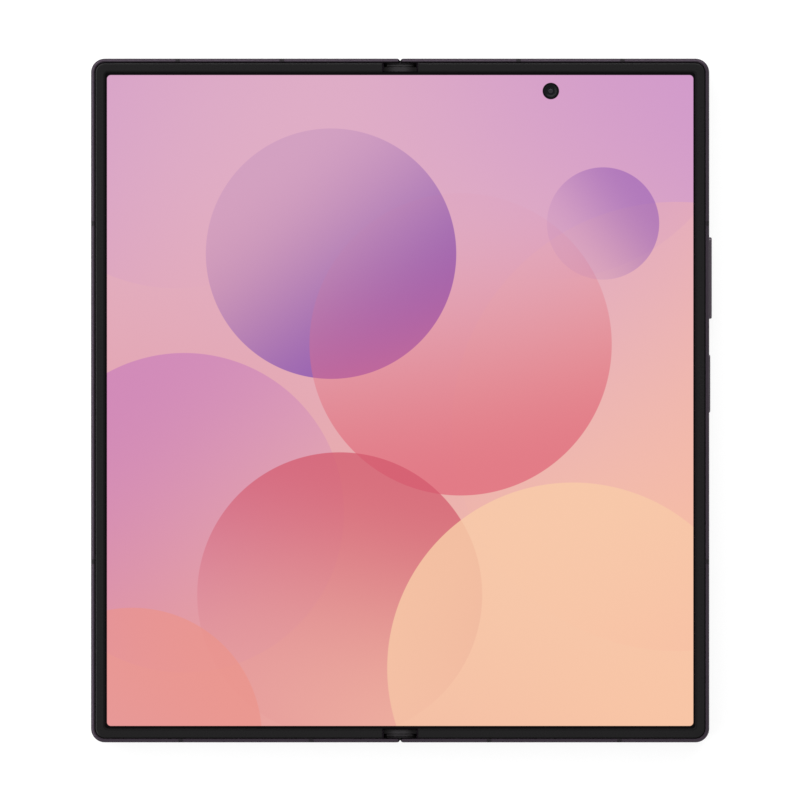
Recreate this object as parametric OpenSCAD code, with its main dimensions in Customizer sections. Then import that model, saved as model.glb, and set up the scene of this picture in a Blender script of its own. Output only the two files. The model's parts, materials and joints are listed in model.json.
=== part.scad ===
// Book-style folding phone, lying open with its screen up.
// X runs across both halves, Y along the fold line and Z up. The origin is on the fold line,
// level with the lens rings. Inside the modules heights start at the rear face, and on_feet()
// lifts each piece by the height of the camera island. Left pieces are drawn on the right
// and mirrored.

/* [Body] */
// Width of the open phone
open_w = 143.2; // [138:0.1:160]
// Height of the phone
body_h = 158.4; // [152:0.1:175]
// Thickness of one half
half_t = 4.2; // [4.2:0.05:5]
// Gap left between the two halves when shut
fold_gap = 0.5; // [0.4:0.05:0.8]
// Gap between the halves along the fold line when open
centre_gap = 0.1; // [0.06:0.02:0.2]
// Radius of the outer corners
corner_r = 3.2; // [2.6:0.1:5]
// Width of the metal rim
rim_w = 0.9; // [0.85:0.05:1.2]
// Width of the rim past the hinge
hinge_rim_w = 0.8; // [0.7:0.05:0.85]
// Rounding of the rim's outer edge at the rear
rim_edge_r = 0.35; // [0.15:0.05:0.45]
// Rounding of the rim's outer edge at the front
rim_front_r = 0.6; // [0.2:0.05:0.6]
// Chamfer of the rim's inner edge beside the bezel
rim_chamfer = 0.2; // [0.1:0.05:0.25]
// Rounding of the rim ends where they meet at the fold line
notch_r = 0.75; // [0.4:0.05:0.85]
// Thickness of the rear cover and the outer glass
rear_glass_t = 0.32; // [0.25:0.01:0.4]
// Thickness of the metal skirt behind the hinge
skirt_t = 0.55; // [0.5:0.01:0.6]
// Width of the bare metal strip beside the fold line on the rear
skirt_w = 2.4; // [1.6:0.1:3.2]
// Thickness of the deck that carries the screen
deck_t = 0.3; // [0.25:0.01:0.4]
// Width of the antenna breaks in the rim
break_w = 1.1; // [0.8:0.1:1.6]

/* [Screen] */
// Thickness of the flexible panel
panel_t = 0.5; // [0.4:0.02:0.6]
// How far the screen lies below the rim
panel_drop = 0.25; // [0.2:0.01:0.35]
// Width of the soft bezel seen from the front
bezel_w = 2.35; // [1.8:0.05:2.6]
// How far the bezel reaches over the edge of the panel
bezel_lap = 0.2; // [0.1:0.02:0.3]
// Thickness of the lip over the panel
bezel_lip_t = 0.2; // [0.15:0.01:0.22]
// Half width of the stretch of screen that folds
fold_half_w = 4; // [3.6:0.1:4.2]
// Thickness of the flat plates under the screen
plate_t = 0.25; // [0.2:0.01:0.28]
// Thickness of the wings and of the centre plate
wing_t = 0.2; // [0.16:0.01:0.22]
// Inner camera, across from the fold line
front_cam_x = 34.9; // [25:0.1:45]
// Inner camera, down from the top edge
front_cam_drop = 7.53; // [6:0.1:12]
// Radius of the hole in the screen for the inner camera
front_cam_r = 1.65; // [1.4:0.05:2]

/* [Hinge] */
// Depth of the fold axes below the front face
axis_depth = 1.075; // [1:0.005:1.12]
// Clearance between the spine and the skirts
spine_clear = 0.05; // [0.04:0.01:0.1]
// Wall of the spine
spine_t = 0.4; // [0.36:0.01:0.44]
// Thickness of the arc rails
rail_t = 0.5; // [0.4:0.01:0.55]
// Width of an arc rail along the fold line
rail_w = 4; // [3:0.1:4.4]
// Running clearance of the rails, gears and shafts
run_clear = 0.05; // [0.04:0.005:0.07]
// Thickness of the end caps along the fold line
cap_t = 2; // [1.6:0.1:2.4]
// Teeth of each gear
teeth = 10; // [10:2:12]
// Width of the gears along the fold line
gear_w = 4; // [3:0.1:4.6]
// Radius of the gear shafts
shaft_r = 0.25; // [0.2:0.01:0.3]
// Width of the gear arms along the fold line
arm_w = 2; // [1.5:0.1:2.4]
// Place of the end rails, in from the ends of the spine
end_station_in = 8.1; // [7.1:0.1:9]
// Place of the gears, in from the ends of the spine
gear_station_in = 24.1; // [23.7:0.1:28]
// Place of the flex cables along the fold line, from the centre
flex_y = 27; // [20:0.5:29]
// Width of the flex cables
flex_w = 12; // [8:0.5:16]

/* [Keys] */
// Width of the side keys, front to back
key_w = 1.6; // [1.3:0.05:1.7]
// Volume key, up from the centre
volume_y = 28.4; // [26:0.1:29]
// Length of the volume key
volume_len = 18.9; // [16:0.1:20]
// How far the volume key stands out
volume_proud = 0.65; // [0.4:0.05:0.8]
// Power key, up from the centre
power_y = 3.9; // [0:0.1:6]
// Length of the power key
power_len = 13.4; // [10:0.1:15]
// How far the power key stands out
power_proud = 0.3; // [0.25:0.05:0.6]
// Clearance round the keys
key_clear = 0.08; // [0.07:0.01:0.12]

/* [Cameras] */
// Width of the camera island
island_w = 21; // [20:0.1:23]
// Height of the camera island above the rear face
island_h = 1; // [0.8:0.05:1.5]
// Rounding of the island's edge
island_edge_r = 0.45; // [0.2:0.05:0.6]
// Distance between the lenses
lens_pitch = 18.5; // [17:0.1:19]
// Distance from the island to the outer edges
island_margin = 5; // [4.2:0.1:6]
// Outer radius of a lens ring
lens_ring_r = 7; // [6.4:0.1:7.4]
// Height of a lens ring above the island
lens_ring_h = 0.9; // [0.7:0.05:1.2]
// Radius of a lens glass
lens_r = 5.4; // [5:0.05:5.8]
// Side of a camera module
cam_block = 11; // [9.5:0.1:11.5]

/* [Ports] */
// Width of the charging port
usb_w = 8.94; // [8.94:0.01:9.2]
// Height of the charging port
usb_h = 2.8; // [2.7:0.01:2.85]
// Depth of the charging port
usb_depth = 7.2; // [6.4:0.1:8]
// Width of the SIM tray
sim_w = 12; // [10:0.1:13]
// Depth of the SIM tray
sim_depth = 17; // [15:0.1:19]
// Thickness of the SIM tray
sim_t = 0.7; // [0.6:0.05:0.8]
// Place of the SIM tray, across from the fold line
sim_x = 36; // [32:0.1:40]
// Width of one sound slot
slot_w = 2; // [1.4:0.1:2.2]
// Height of one sound slot
slot_h = 0.9; // [0.6:0.05:1.2]
// Distance between the sound slots
slot_pitch = 2.8; // [2.5:0.1:3]

/* [Hidden] */
$fn = 64;

// Gap between pieces that are clamped or glued
seat = 0.02;
// Gap between pieces that lie over one another
lay = 0.05;
// Gap between pieces that stand side by side
side_gap = 0.1;
// Reach of a cut past the face that it goes through
past = 1;

half_w = open_w / 2;
half_h = body_h / 2;
lift = island_h + lens_ring_h;
metal = [0.30, 0.26, 0.29];
soft_black = [0.14, 0.14, 0.14];
glass_black = [0.05, 0.05, 0.06];
steel = [0.62, 0.62, 0.64];
board_green = [0.10, 0.25, 0.18];
foil = [0.20, 0.20, 0.21];
pink = [0.90, 0.70, 0.78];

// Fold axes: each half turns about (axis_x, axis_z) on its own side
axis_x = axis_depth + fold_gap / 2;
axis_z = half_t - axis_depth;
fold_r = axis_x - centre_gap / 4;

// Heights of the stack under the screen, from the front face down
panel_top = half_t - panel_drop;
panel_low = panel_top - panel_t;
plate_top = panel_low - lay;
deck_top = plate_top - plate_t;
deck_low = deck_top - deck_t;
wing_low = deck_top;
wing_z = wing_low + wing_t / 2;
bay_top = deck_low - side_gap;

// Heights of the rear face's ledges, from the rear up
ledge_top = skirt_t + 0.05;
skirt_edge_r = 0.25;
ledge_w = 0.9;

// Spine: a shell of radius spine_r about both axes
spine_low = skirt_t + spine_clear;
spine_r = axis_z - spine_low;
spine_in_r = spine_r - spine_t;
spine_floor = spine_low + spine_t;
spine_wall_drop = 0.925;
spine_wall_top = axis_z - spine_wall_drop;
spine_half_w = axis_x + spine_r;
base_drop = 0.62;
base_top = axis_z - base_drop;
base_clear = 0.03;

// Things in the halves start past the swing of the spine
swing_gap = 0.5;
swing_x = spine_half_w + swing_gap;
wing_x = swing_x - 0.3 * swing_gap;
wing_in = axis_x;
plate_in = wing_x + wing_t / 2 + lay;
deck_in = plate_in;
bezel_in = spine_half_w + 0.7 * swing_gap;
wall_t = 0.5;
ledge_in = swing_x + 1.7 * wall_t;
bracket_in = swing_x + wall_t + side_gap;
bracket_w = 4.25;
bracket_out = bracket_in + bracket_w;
bay_gap = 0.8;
bay_in = bracket_out + bay_gap;

// Ends of the spine along the fold line
cap_out = half_h - hinge_rim_w - side_gap;
cap_in = cap_out - cap_t;
spine_y = cap_in - lay;
end_station_y = spine_y - end_station_in;
gear_station_y = spine_y - gear_station_in;
rim_gap = 0.6;
bay_y = half_h - rim_w - rim_gap;
bay_out = half_w - rim_w - rim_gap;

// Arc rails
rail_out_r = spine_in_r - 1.5 * run_clear;
rail_in_r = rail_out_r - rail_t;
guide_r = rail_in_r - run_clear;
groove_r = spine_in_r + base_clear;
rail_from = -165;
rail_to = -22;
rail_arm_drop = 0.565;
rail_arm_t = 0.3;
rail_arm_top = axis_z - rail_arm_drop;
rail_arm_low = rail_arm_top - rail_arm_t;
rail_spacing = 2;
rail_offset = (rail_w + rail_spacing) / 2;
groove_w = rail_w + 2 * side_gap;
screw_inset = 1.8;
screw_x = bracket_out - screw_inset;
guide_screw_inset = 0.75;
guide_screw_x = bracket_out - guide_screw_inset;
screw_r = 0.4;
screw_head_r = 0.7;
screw_head_h = 0.26;

// Gears: three equal pitch circles from the fold line to the arm's gear
arm_offset = 0.825;
gear_x = axis_x + arm_offset;
gear_drop = 1.125;
gear_z = axis_z - gear_drop;
pitch_r = gear_x / 3;
gear_module = 2 * pitch_r / teeth;
tip_r = pitch_r + 0.85 * gear_module;
root_r = pitch_r - 1.15 * gear_module;
base_r = pitch_r * cos(20);
backlash = 1.2;
bore_r = shaft_r + run_clear;
washer_r = pitch_r - side_gap;
washer_t = 0.9;
bearing_w = 2;
shaft_seat = bearing_w + washer_t + 2 * lay;
arm_t = 0.25;
arm_low = gear_z - 0.6 * arm_t;
arm_top = gear_z + 0.4 * arm_t;
arm_reach = 2.45;
arm_out = bracket_in + arm_reach;
arm_drop = 0.3;
arm_rise = 0.34;

// Camera island behind the upper outer corner of the right half
island_r = island_w / 2;
island_straight = 2 * lens_pitch;
cam_x = half_w - island_margin - island_r;
cam_y = half_h - island_margin - island_r - lens_pitch;
lens_ys = [cam_y - lens_pitch, cam_y, cam_y + lens_pitch];
flash_r = 1.2;
flash_inset = 2.6;
flash_x = cam_x + island_r - flash_inset;
flash_y = cam_y + lens_pitch / 2;
front_cam_y = half_h - front_cam_drop;
front_cam_wall = 0.75;

// Side keys
key_z = bay_top - side_gap - key_w / 2 - lay;
flange_gap = 0.3;
flange_out = half_w - rim_w - flange_gap;
flange_t = 0.45;
flange_reach = 0.7;
key_pivot_r = 0.4;
volume_pivot_x = flange_out - flange_gap;
switch_gap = 0.25;
switch_face = flange_out - flange_t - switch_gap;

// Ports in the lower rim
usb_x = half_w / 2;
usb_z = deck_top - usb_h / 2;
usb_wall = 0.12;
slots_z = (bay_top + ledge_top) / 2;
slots_in = 17.4;
mic_in = 9;
mic_r = 0.4;
sim_depth_below = 0.9;
sim_z = deck_low - sim_depth_below;
sim_lip = 0.7;
sim_head_w = sim_w + 1.6;
sim_head_h = sim_t + sim_lip;
sim_clear = 0.05;
pin_hole_r = 0.35;
breaks_top = [27.4, 51.5];
breaks_low = [20.6, 50.8];
breaks_side = [41, -37.3];

// Angle, in degrees, that an involute has turned at radius r
function involute(r) = r <= base_r ? 0 : tan(acos(base_r / r)) * 180 / PI - acos(base_r / r);
// Half the angle of a tooth at radius r
function tooth_half(r) = 90 / teeth - backlash + involute(pitch_r) - involute(r);
function polar(r, angle) = [r * cos(angle), r * sin(angle)];

// ---- Helpers ----

module on_feet() {
  translate([0, 0, lift]) children();
}

module mirrored_x() {
  mirror([1, 0, 0]) children();
}

// Draws its children at the top end and, mirrored, at the bottom end
module both_ends() {
  children();
  mirror([0, 1, 0]) children();
}

module box_between(low, high) {
  translate(low) cube(high - low);
}

// Extrudes an outline drawn in X and Z along the fold line
module along_y(y0, y1) {
  translate([0, y1, 0]) rotate([90, 0, 0]) linear_extrude(y1 - y0) children();
}

// Extrudes an outline drawn in Y and Z across the phone
module along_x(x0, x1) {
  translate([x0, 0, 0]) rotate([90, 0, 90]) linear_extrude(x1 - x0) children();
}

// Extrudes an outline drawn in plan between two heights
module between_z(z0, z1) {
  translate([0, 0, z0]) linear_extrude(z1 - z0) children();
}

module stadium(w, h) {
  square([w - h, h], center = true);
  for (s = [-1, 1]) translate([s * (w - h) / 2, 0]) circle(h / 2);
}

module rounded_rect(x0, x1, y0, y1, r) {
  translate([x0 + r, y0]) square([x1 - x0 - 2 * r, y1 - y0]);
  translate([x0, y0 + r]) square([x1 - x0, y1 - y0 - 2 * r]);
  for (x = [x0 + r, x1 - r]) for (y = [y0 + r, y1 - r]) translate([x, y]) circle(r);
}

// Plan of one half from x_in outwards, drawn in by inset, with rounded outer corners
module half_plan(x_in, inset, r) {
  x_out = half_w - inset;
  y_out = half_h - inset;
  translate([x_in, -y_out]) square([x_out - r - x_in, 2 * y_out]);
  translate([x_in, r - y_out]) square([x_out - x_in, 2 * (y_out - r)]);
  for (s = [-1, 1]) translate([x_out - r, s * (y_out - r)]) circle(r);
}

// Wedge between two angles, about the point (0, 0)
module wedge(r, from, to) {
  polygon(concat([[0, 0]], [for (i = [0 : 6]) polar(r, from + (to - from) * i / 6)]));
}

// ---- Frames ----

module rim_profile() {
  rear_x = rim_w - rim_edge_r;
  front_x = rim_w - rim_front_r;
  front_z = half_t - rim_front_r;
  polygon([
    [0, 0], [rear_x, 0], [rear_x, rim_edge_r], [rim_w, rim_edge_r], [rim_w, front_z],
    [front_x, front_z], [front_x, half_t], [rim_chamfer, half_t], [0, half_t - rim_chamfer]
  ]);
  translate([rear_x, rim_edge_r]) circle(rim_edge_r);
  translate([front_x, front_z]) intersection() {
    circle(rim_front_r);
    square(rim_front_r);
  }
}

// The U of the rim before its ends are shaped
module plain_rim() {
  side = half_h - corner_r;
  translate([half_w - rim_w, 0, 0]) along_y(-side, side) rim_profile();
  both_ends() {
    translate([half_w - corner_r, side, 0])
      rotate_extrude(angle = 90) translate([corner_r - rim_w, 0]) rim_profile();
    translate([0, half_h - rim_w, 0]) along_x(centre_gap / 2, half_w - corner_r) rim_profile();
  }
}

// Takes away what would cross the fold line as the half turns
module fold_edge_cut() {
  along_y(-half_h - past, half_h + past) {
    difference() {
      translate([-past, axis_z]) square([axis_x + past, axis_depth + past]);
      translate([axis_x, axis_z]) circle(fold_r);
    }
    difference() {
      translate([-past, -past]) square([past + centre_gap / 2 + skirt_edge_r, past + skirt_edge_r]);
      translate([centre_gap / 2 + skirt_edge_r, skirt_edge_r]) circle(skirt_edge_r);
    }
  }
}

// Rounds the rim ends in plan and thins them past the hinge
module rim_end_cut() {
  both_ends() {
    between_z(-past, half_t + past) difference() {
      translate([-past, half_h - notch_r]) square([past + centre_gap / 2 + notch_r, notch_r + past]);
      translate([centre_gap / 2 + notch_r, half_h - notch_r]) circle(notch_r);
    }
    box_between(
      [-past, half_h - rim_w - past, skirt_t],
      [bezel_in, half_h - hinge_rim_w, half_t + past]);
  }
}

// The skirt behind the hinge, with the ledge that carries the rear cover
module skirt() {
  along_y(lay - half_h + rim_w / 2, half_h - rim_w / 2 - lay) {
    translate([centre_gap / 2, 0]) square([skirt_w - centre_gap / 2, skirt_t]);
    translate([skirt_w - lay, rear_glass_t + seat])
      square([ledge_in - skirt_w + lay, skirt_t - rear_glass_t - seat]);
    translate([swing_x, skirt_t - lay]) square([wall_t, spine_wall_top - skirt_t + lay]);
  }
}

// The ledge round the other three sides
module rear_ledge() {
  between_z(rear_glass_t + seat, ledge_top) difference() {
    half_plan(ledge_in - lay, rim_w - lay, corner_r - rim_w + lay);
    half_plan(ledge_in - 2 * lay, rim_w + ledge_w, corner_r - rim_w - ledge_w);
  }
}

module deck() {
  between_z(deck_low, deck_top) half_plan(deck_in, rim_w - lay, corner_r - rim_w + lay);
}

// One box for each antenna break, cut through the rim
module break_boxes() {
  between_z(-past, half_t + past) {
    for (x = breaks_top) translate([x - break_w / 2, half_h - rim_w]) square([break_w, rim_w + past]);
    for (x = breaks_low) translate([x - break_w / 2, -half_h - past]) square([break_w, rim_w + past]);
    for (y = breaks_side) translate([half_w - rim_w, y - break_w / 2]) square([rim_w + past, break_w]);
  }
}

module half_frame() {
  difference() {
    union() {
      plain_rim();
      deck();
      skirt();
      rear_ledge();
    }
    fold_edge_cut();
    rim_end_cut();
    break_boxes();
    arm_windows();
    for (y = concat(rail_ys, left_rail_ys)) bracket_screw_hole(screw_x, y);
    for (y = guide_ys) bracket_screw_hole(guide_screw_x, y);
  }
}

module antenna_breaks() {
  intersection() {
    plain_rim();
    break_boxes();
  }
}

// Windows in the hinge wall for the gear arms
module arm_windows() {
  for (s = [-1, 1]) box_between(
    [swing_x - past, s * gear_station_y - arm_w / 2 - side_gap, arm_low - arm_drop - side_gap],
    [bracket_in, s * gear_station_y + arm_w / 2 + side_gap, spine_wall_top + past / 2]);
}

// Row of sound slots in the lower or upper rim
module sound_slots(x0, y, count) {
  for (i = [0 : count - 1]) translate([x0 + i * slot_pitch, y, slots_z])
    rotate([90, 0, 0]) linear_extrude(3 * rim_w, center = true) stadium(slot_w, slot_h);
}

module key_hole(y, len) {
  along_x(half_w - rim_w - past, half_w + past)
    translate([y, key_z]) stadium(len + 2 * key_clear, key_w + 2 * key_clear);
}

module usb_outline(grow) {
  translate([usb_x, usb_z]) stadium(usb_w + 2 * grow, usb_h + 2 * grow);
}

module right_frame() color(metal) on_feet() {
  difference() {
    half_frame();
    key_hole(volume_y, volume_len);
    key_hole(power_y, power_len);
    along_y(-half_h - past, usb_depth + 2 * side_gap - half_h) usb_outline(seat);
    sound_slots(usb_x + slots_in, rim_w / 2 - half_h, 5);
    translate([front_cam_x, front_cam_y, 0]) cylinder(r = front_cam_r + front_cam_wall, h = half_t);
    translate([usb_x - mic_in, 0, slots_z]) rotate([90, 0, 0]) cylinder(r = mic_r, h = half_h + past);
  }
}

module right_antenna_breaks() color("dimgray") on_feet() {
  antenna_breaks();
}

module left_frame() color(metal) on_feet() mirrored_x() {
  difference() {
    half_frame();
    sim_head(sim_clear, 2 * rim_w);
    sound_slots(sim_x - 2 * slot_pitch, half_h - rim_w / 2, 5);
  }
}

module left_antenna_breaks() color("dimgray") on_feet() mirrored_x() {
  antenna_breaks();
}

// ---- Bezels, screen and its plates ----

bezel_low = deck_top + lay;
bezel_out = rim_w + seat;
panel_inset = rim_w + bezel_w - bezel_lap;
panel_r = 0.9;
lip_r = 0.8;
bezel_chamfer = 0.12;

module bezel() {
  difference() {
    union() {
      between_z(bezel_low, half_t - bezel_chamfer) half_plan(bezel_in, bezel_out, corner_r - bezel_out);
      between_z(half_t - bezel_chamfer - seat, half_t)
        half_plan(bezel_in, bezel_out + bezel_chamfer, corner_r - bezel_out - bezel_chamfer);
    }
    between_z(-past, half_t - bezel_lip_t) half_plan(-past, panel_inset - lay, panel_r + lay);
    between_z(0, half_t + past) half_plan(-past, rim_w + bezel_w, lip_r);
  }
}

module right_bezel() color(soft_black) on_feet() {
  bezel();
}

module left_bezel() color(soft_black) on_feet() mirrored_x() {
  bezel();
}

module flat_panel() {
  between_z(panel_low, panel_top) half_plan(fold_half_w, panel_inset, panel_r);
}

module display_right() color(pink) on_feet() {
  difference() {
    flat_panel();
    translate([front_cam_x, front_cam_y, 0]) cylinder(r = front_cam_r, h = half_t);
  }
}

module display_left() color(pink) on_feet() mirrored_x() {
  flat_panel();
}

module display_fold() color(pink) on_feet() {
  reach = fold_half_w - seat / 2;
  box_between([-reach, panel_inset - half_h, panel_low], [reach, half_h - panel_inset, panel_top]);
}

module support_plate() {
  between_z(deck_top, plate_top) half_plan(plate_in, panel_inset + side_gap, panel_r);
}

module right_support_plate() color(foil) on_feet() {
  difference() {
    support_plate();
    translate([front_cam_x, front_cam_y, 0]) cylinder(r = front_cam_r + front_cam_wall, h = half_t);
  }
}

module left_support_plate() color(foil) on_feet() mirrored_x() {
  support_plate();
}

// A wing swings on its rounded outer edge and has notches over the gears
module wing() {
  wing_y = half_h - panel_inset - side_gap;
  notch_half = gear_w / 2 + washer_t + 2 * side_gap;
  difference() {
    along_y(-wing_y, wing_y) {
      translate([wing_in, wing_low]) square([wing_x - wing_in, wing_t]);
      translate([wing_x, wing_z]) circle(wing_t / 2);
    }
    both_ends() box_between(
      [0, gear_station_y - notch_half, 0],
      [gear_x + washer_r, gear_station_y + notch_half, half_t]);
  }
}

module right_wing() color(steel) on_feet() {
  wing();
}

module left_wing() color(steel) on_feet() mirrored_x() {
  wing();
}

module centre_plate() color(steel) on_feet() {
  plate_half = wing_in - side_gap;
  plate_y = half_h - panel_inset - side_gap;
  box_between([-plate_half, -plate_y, wing_low], [plate_half, plate_y, wing_low + wing_t]);
  both_ends() for (y = post_ys) box_between(
    [-post_w / 2, y - post_w / 2, base_top + lay],
    [post_w / 2, y + post_w / 2, wing_low + lay]);
}

// ---- Hinge spine ----

// Outline of the spine about both axes, up to the height top
module spine_outline(r, top) {
  intersection() {
    union() {
      for (s = [-1, 1]) translate([s * axis_x, axis_z]) circle(r);
      translate([-axis_x, axis_z - r]) square([2 * axis_x, 2 * r]);
    }
    translate([-2 * spine_half_w, 0]) square([4 * spine_half_w, top]);
  }
}

// Cylinder along the fold line at one of the gear centres
module gear_hole(x, r, y0, y1) {
  translate([x, y1, gear_z]) rotate([90, 0, 0]) cylinder(r = r, h = y1 - y0);
}

module hinge_spine() color(metal) on_feet() {
  difference() {
    along_y(-spine_y, spine_y) difference() {
      spine_outline(spine_r, spine_wall_top);
      spine_outline(spine_in_r, half_t);
    }
    both_ends() {
      for (s = [-1, 1]) gear_hole(s * gear_x, tip_r + 0.8 * side_gap,
        gear_station_y - gear_w / 2 - side_gap, gear_station_y + gear_w / 2 + side_gap);
      box_between(
        [-2 * spine_half_w, gear_station_y - arm_w / 2 - side_gap, arm_low - 0.7 * side_gap],
        [2 * spine_half_w, gear_station_y + arm_w / 2 + side_gap, half_t]);
    }
  }
}

// The caps close the ends of the spine and show between the bezels
cap_drop = 0.35;
cap_top = panel_top - cap_drop;
cap_half_w = spine_half_w - side_gap;
cap_ridge_half = 2.8;
cap_lip_t = 0.75;
cap_ridge_t = 0.35;
cap_step = 0.15;
cap_block_drop = 0.55;

module hinge_end_caps() color(soft_black) on_feet() {
  both_ends() {
    along_y(cap_in, cap_out) spine_outline(spine_r, spine_wall_top + spine_t);
    along_y(cap_in, cap_out + lay - cap_lip_t)
      rounded_rect(-cap_half_w, cap_half_w, axis_z - cap_block_drop, cap_top, 2 * cap_step);
    along_y(cap_out - cap_lip_t, cap_out - side_gap)
      rounded_rect(-cap_ridge_half, cap_ridge_half, spine_wall_top, cap_top - cap_step, cap_step);
    along_y(cap_out - side_gap - cap_ridge_t, cap_out - side_gap)
      rounded_rect(-cap_ridge_half, cap_ridge_half, spine_wall_top, cap_top + lay, cap_step);
  }
}

// ---- Hinge bases, rails and gears ----

base_lip = 0.35;

module base_outline() {
  spine_outline(spine_in_r - base_clear, spine_wall_top - 0.05);
  intersection() {
    spine_outline(spine_in_r - base_clear, base_top);
    translate([-gear_x - base_lip, 0]) square([2 * (gear_x + base_lip), half_t]);
  }
}

// Ring that a rail of the right half sweeps
module rail_ring(r_in, r_out) {
  translate([axis_x, axis_z]) difference() {
    circle(r_out);
    circle(r_in);
  }
}

// Groove for the right rail at y_right and for the left rail at y_left
module rail_grooves(y_right, y_left) {
  along_y(y_right - groove_w / 2, y_right + groove_w / 2) rail_ring(guide_r, groove_r + lay);
  mirrored_x() along_y(y_left - groove_w / 2, y_left + groove_w / 2) rail_ring(guide_r, groove_r + lay);
}

gear_wall_in = gear_station_y - gear_w / 2 - shaft_seat + bearing_w;
gear_wall_out = gear_station_y + gear_w / 2 + shaft_seat - bearing_w;
inner_block_w = 6.5;
inner_block_y = gear_wall_in - inner_block_w;
rail_cheek = 1.5;
outer_block_y = end_station_y + rail_offset + rail_w / 2 + rail_cheek;
middle_block_y = rail_offset + rail_w / 2 + rail_w;
post_w = 0.7;
// Places of the screws and of the posts, from the ends of their blocks
middle_screw_in = 1.2;
inner_screw_in = 1.5;
outer_screw_in = 3.6;
post_from_screw = 2;
middle_post_from_screw = 1.6;
post_lead = 0.2;
base_screw_ys = [
  middle_block_y - middle_screw_in, inner_block_y + inner_screw_in, gear_wall_out + outer_screw_in
];
post_ys = [
  base_screw_ys[0] - middle_post_from_screw, base_screw_ys[1] + post_from_screw + post_lead,
  base_screw_ys[2] + post_from_screw, outer_block_y - post_w
];
base_screw_r = 0.3;
base_screw_head_r = 0.5;
base_screw_head_h = 0.26;

module base_screw_hole(y, grow) {
  translate([0, y, spine_floor - past]) cylinder(r = base_screw_r + grow, h = half_t);
  translate([0, y, base_top - base_screw_head_h - 2 * seat])
    cylinder(r = base_screw_head_r + grow, h = half_t);
}

module hinge_bases() color("gray") on_feet() {
  both_ends() difference() {
    union() {
      along_y(inner_block_y, gear_wall_in) base_outline();
      along_y(gear_wall_out, outer_block_y) base_outline();
    }
    rail_grooves(end_station_y + rail_offset, end_station_y - rail_offset);
    for (x = [-gear_x, -pitch_r, pitch_r, gear_x])
      gear_hole(x, shaft_r + seat, gear_wall_in - bearing_w, gear_wall_out + bearing_w);
    for (y = base_screw_ys) base_screw_hole(y, seat);
  }
  difference() {
    along_y(-middle_block_y, middle_block_y) base_outline();
    rail_grooves(rail_offset, -rail_offset);
    for (s = [-1, 1]) base_screw_hole(s * base_screw_ys[0], seat);
  }
}

module base_screws() color(steel) on_feet() {
  head_low = base_top - base_screw_head_h - seat;
  both_ends() for (y = base_screw_ys) translate([0, y, 0]) {
    translate([0, 0, spine_floor + seat]) cylinder(r = base_screw_r, h = head_low - spine_floor);
    translate([0, 0, head_low]) cylinder(r = base_screw_head_r, h = base_screw_head_h);
  }
}

foot_lip = 0.75;

// Arc rail with its arm over the spine wall and its foot under the deck
module rail(y) {
  along_y(y - rail_w / 2, y + rail_w / 2) {
    intersection() {
      rail_ring(rail_in_r, rail_out_r);
      translate([axis_x, axis_z]) wedge(2 * rail_out_r, rail_from, rail_to);
    }
    arm_in = axis_x + rail_in_r * cos(rail_to) + 2 * side_gap;
    translate([arm_in, rail_arm_low]) square([bracket_in + wall_t - arm_in, rail_arm_t]);
  }
  difference() {
    box_between(
      [bracket_in, y - rail_w / 2 - foot_lip, rail_arm_low],
      [bracket_out, y + rail_w / 2 + foot_lip, deck_low - lay]);
    bracket_screw_hole(screw_x, y);
  }
}

// Where the right half's rails, and the guides of both halves, are screwed down
rail_ys = [-end_station_y - rail_offset, rail_offset, end_station_y + rail_offset];
left_rail_ys = [rail_offset - end_station_y, -rail_offset, end_station_y - rail_offset];
guide_ys = [-gear_station_y, gear_station_y];

module right_rails() color(steel) on_feet() {
  for (y = rail_ys) rail(y);
}

module left_rails() color(steel) on_feet() mirrored_x() {
  for (y = left_rail_ys) rail(y);
}

module bracket_screw_hole(x, y) {
  translate([x, y, deck_low - half_t]) cylinder(r = screw_r + seat, h = 2 * half_t);
}

module bracket_screw(x, y, head_low) {
  translate([x, y, head_low]) cylinder(r = screw_head_r, h = screw_head_h - seat);
  translate([x, y, head_low]) cylinder(r = screw_r, h = deck_top - lay - head_low);
}

module bracket_screws(ys) {
  for (y = ys) bracket_screw(screw_x, y, rail_arm_low - screw_head_h);
  for (y = guide_ys) bracket_screw(guide_screw_x, y, guide_low - screw_head_h);
}

module right_bracket_screws() color(steel) on_feet() {
  bracket_screws(rail_ys);
}

module left_bracket_screws() color(steel) on_feet() mirrored_x() {
  bracket_screws(left_rail_ys);
}

module gear_outline(phase) {
  radii = [root_r, base_r, (base_r + pitch_r) / 2, pitch_r, (pitch_r + tip_r) / 2, tip_r];
  points = [for (i = [0 : teeth - 1]) each concat(
    [for (k = [0 : 5]) polar(radii[k], phase + i * 360 / teeth - tooth_half(radii[k]))],
    [for (k = [5 : -1 : 0]) polar(radii[k], phase + i * 360 / teeth + tooth_half(radii[k]))])];
  difference() {
    polygon(points);
    circle(bore_r);
  }
}

module gear(x, phase) {
  both_ends() translate([x, 0, gear_z])
    along_y(gear_station_y - gear_w / 2, gear_station_y + gear_w / 2) gear_outline(phase);
}

// Gear with the arm that slides in the half's guide
module sync_arm(phase) {
  gear(gear_x, phase);
  both_ends() box_between(
    [gear_x + 1.5 * bore_r, gear_station_y - arm_w / 2, arm_low],
    [arm_out, gear_station_y + arm_w / 2, arm_top]);
}

// Half a tooth pitch lets neighbouring gears mesh along the line of their centres
half_tooth = 180 / teeth;

module right_sync_arms() color("darkgray") on_feet() {
  sync_arm(0);
}

module left_sync_arms() color("darkgray") on_feet() mirrored_x() {
  sync_arm(half_tooth);
}

module right_idlers() color("silver") on_feet() {
  gear(pitch_r, half_tooth);
}

module left_idlers() color("silver") on_feet() {
  gear(-pitch_r, 0);
}

module gear_shafts() color(steel) on_feet() {
  both_ends() for (x = [-gear_x, -pitch_r, pitch_r, gear_x])
    gear_hole(x, shaft_r, gear_wall_in - bearing_w + side_gap, gear_wall_out + bearing_w - side_gap);
}

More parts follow.
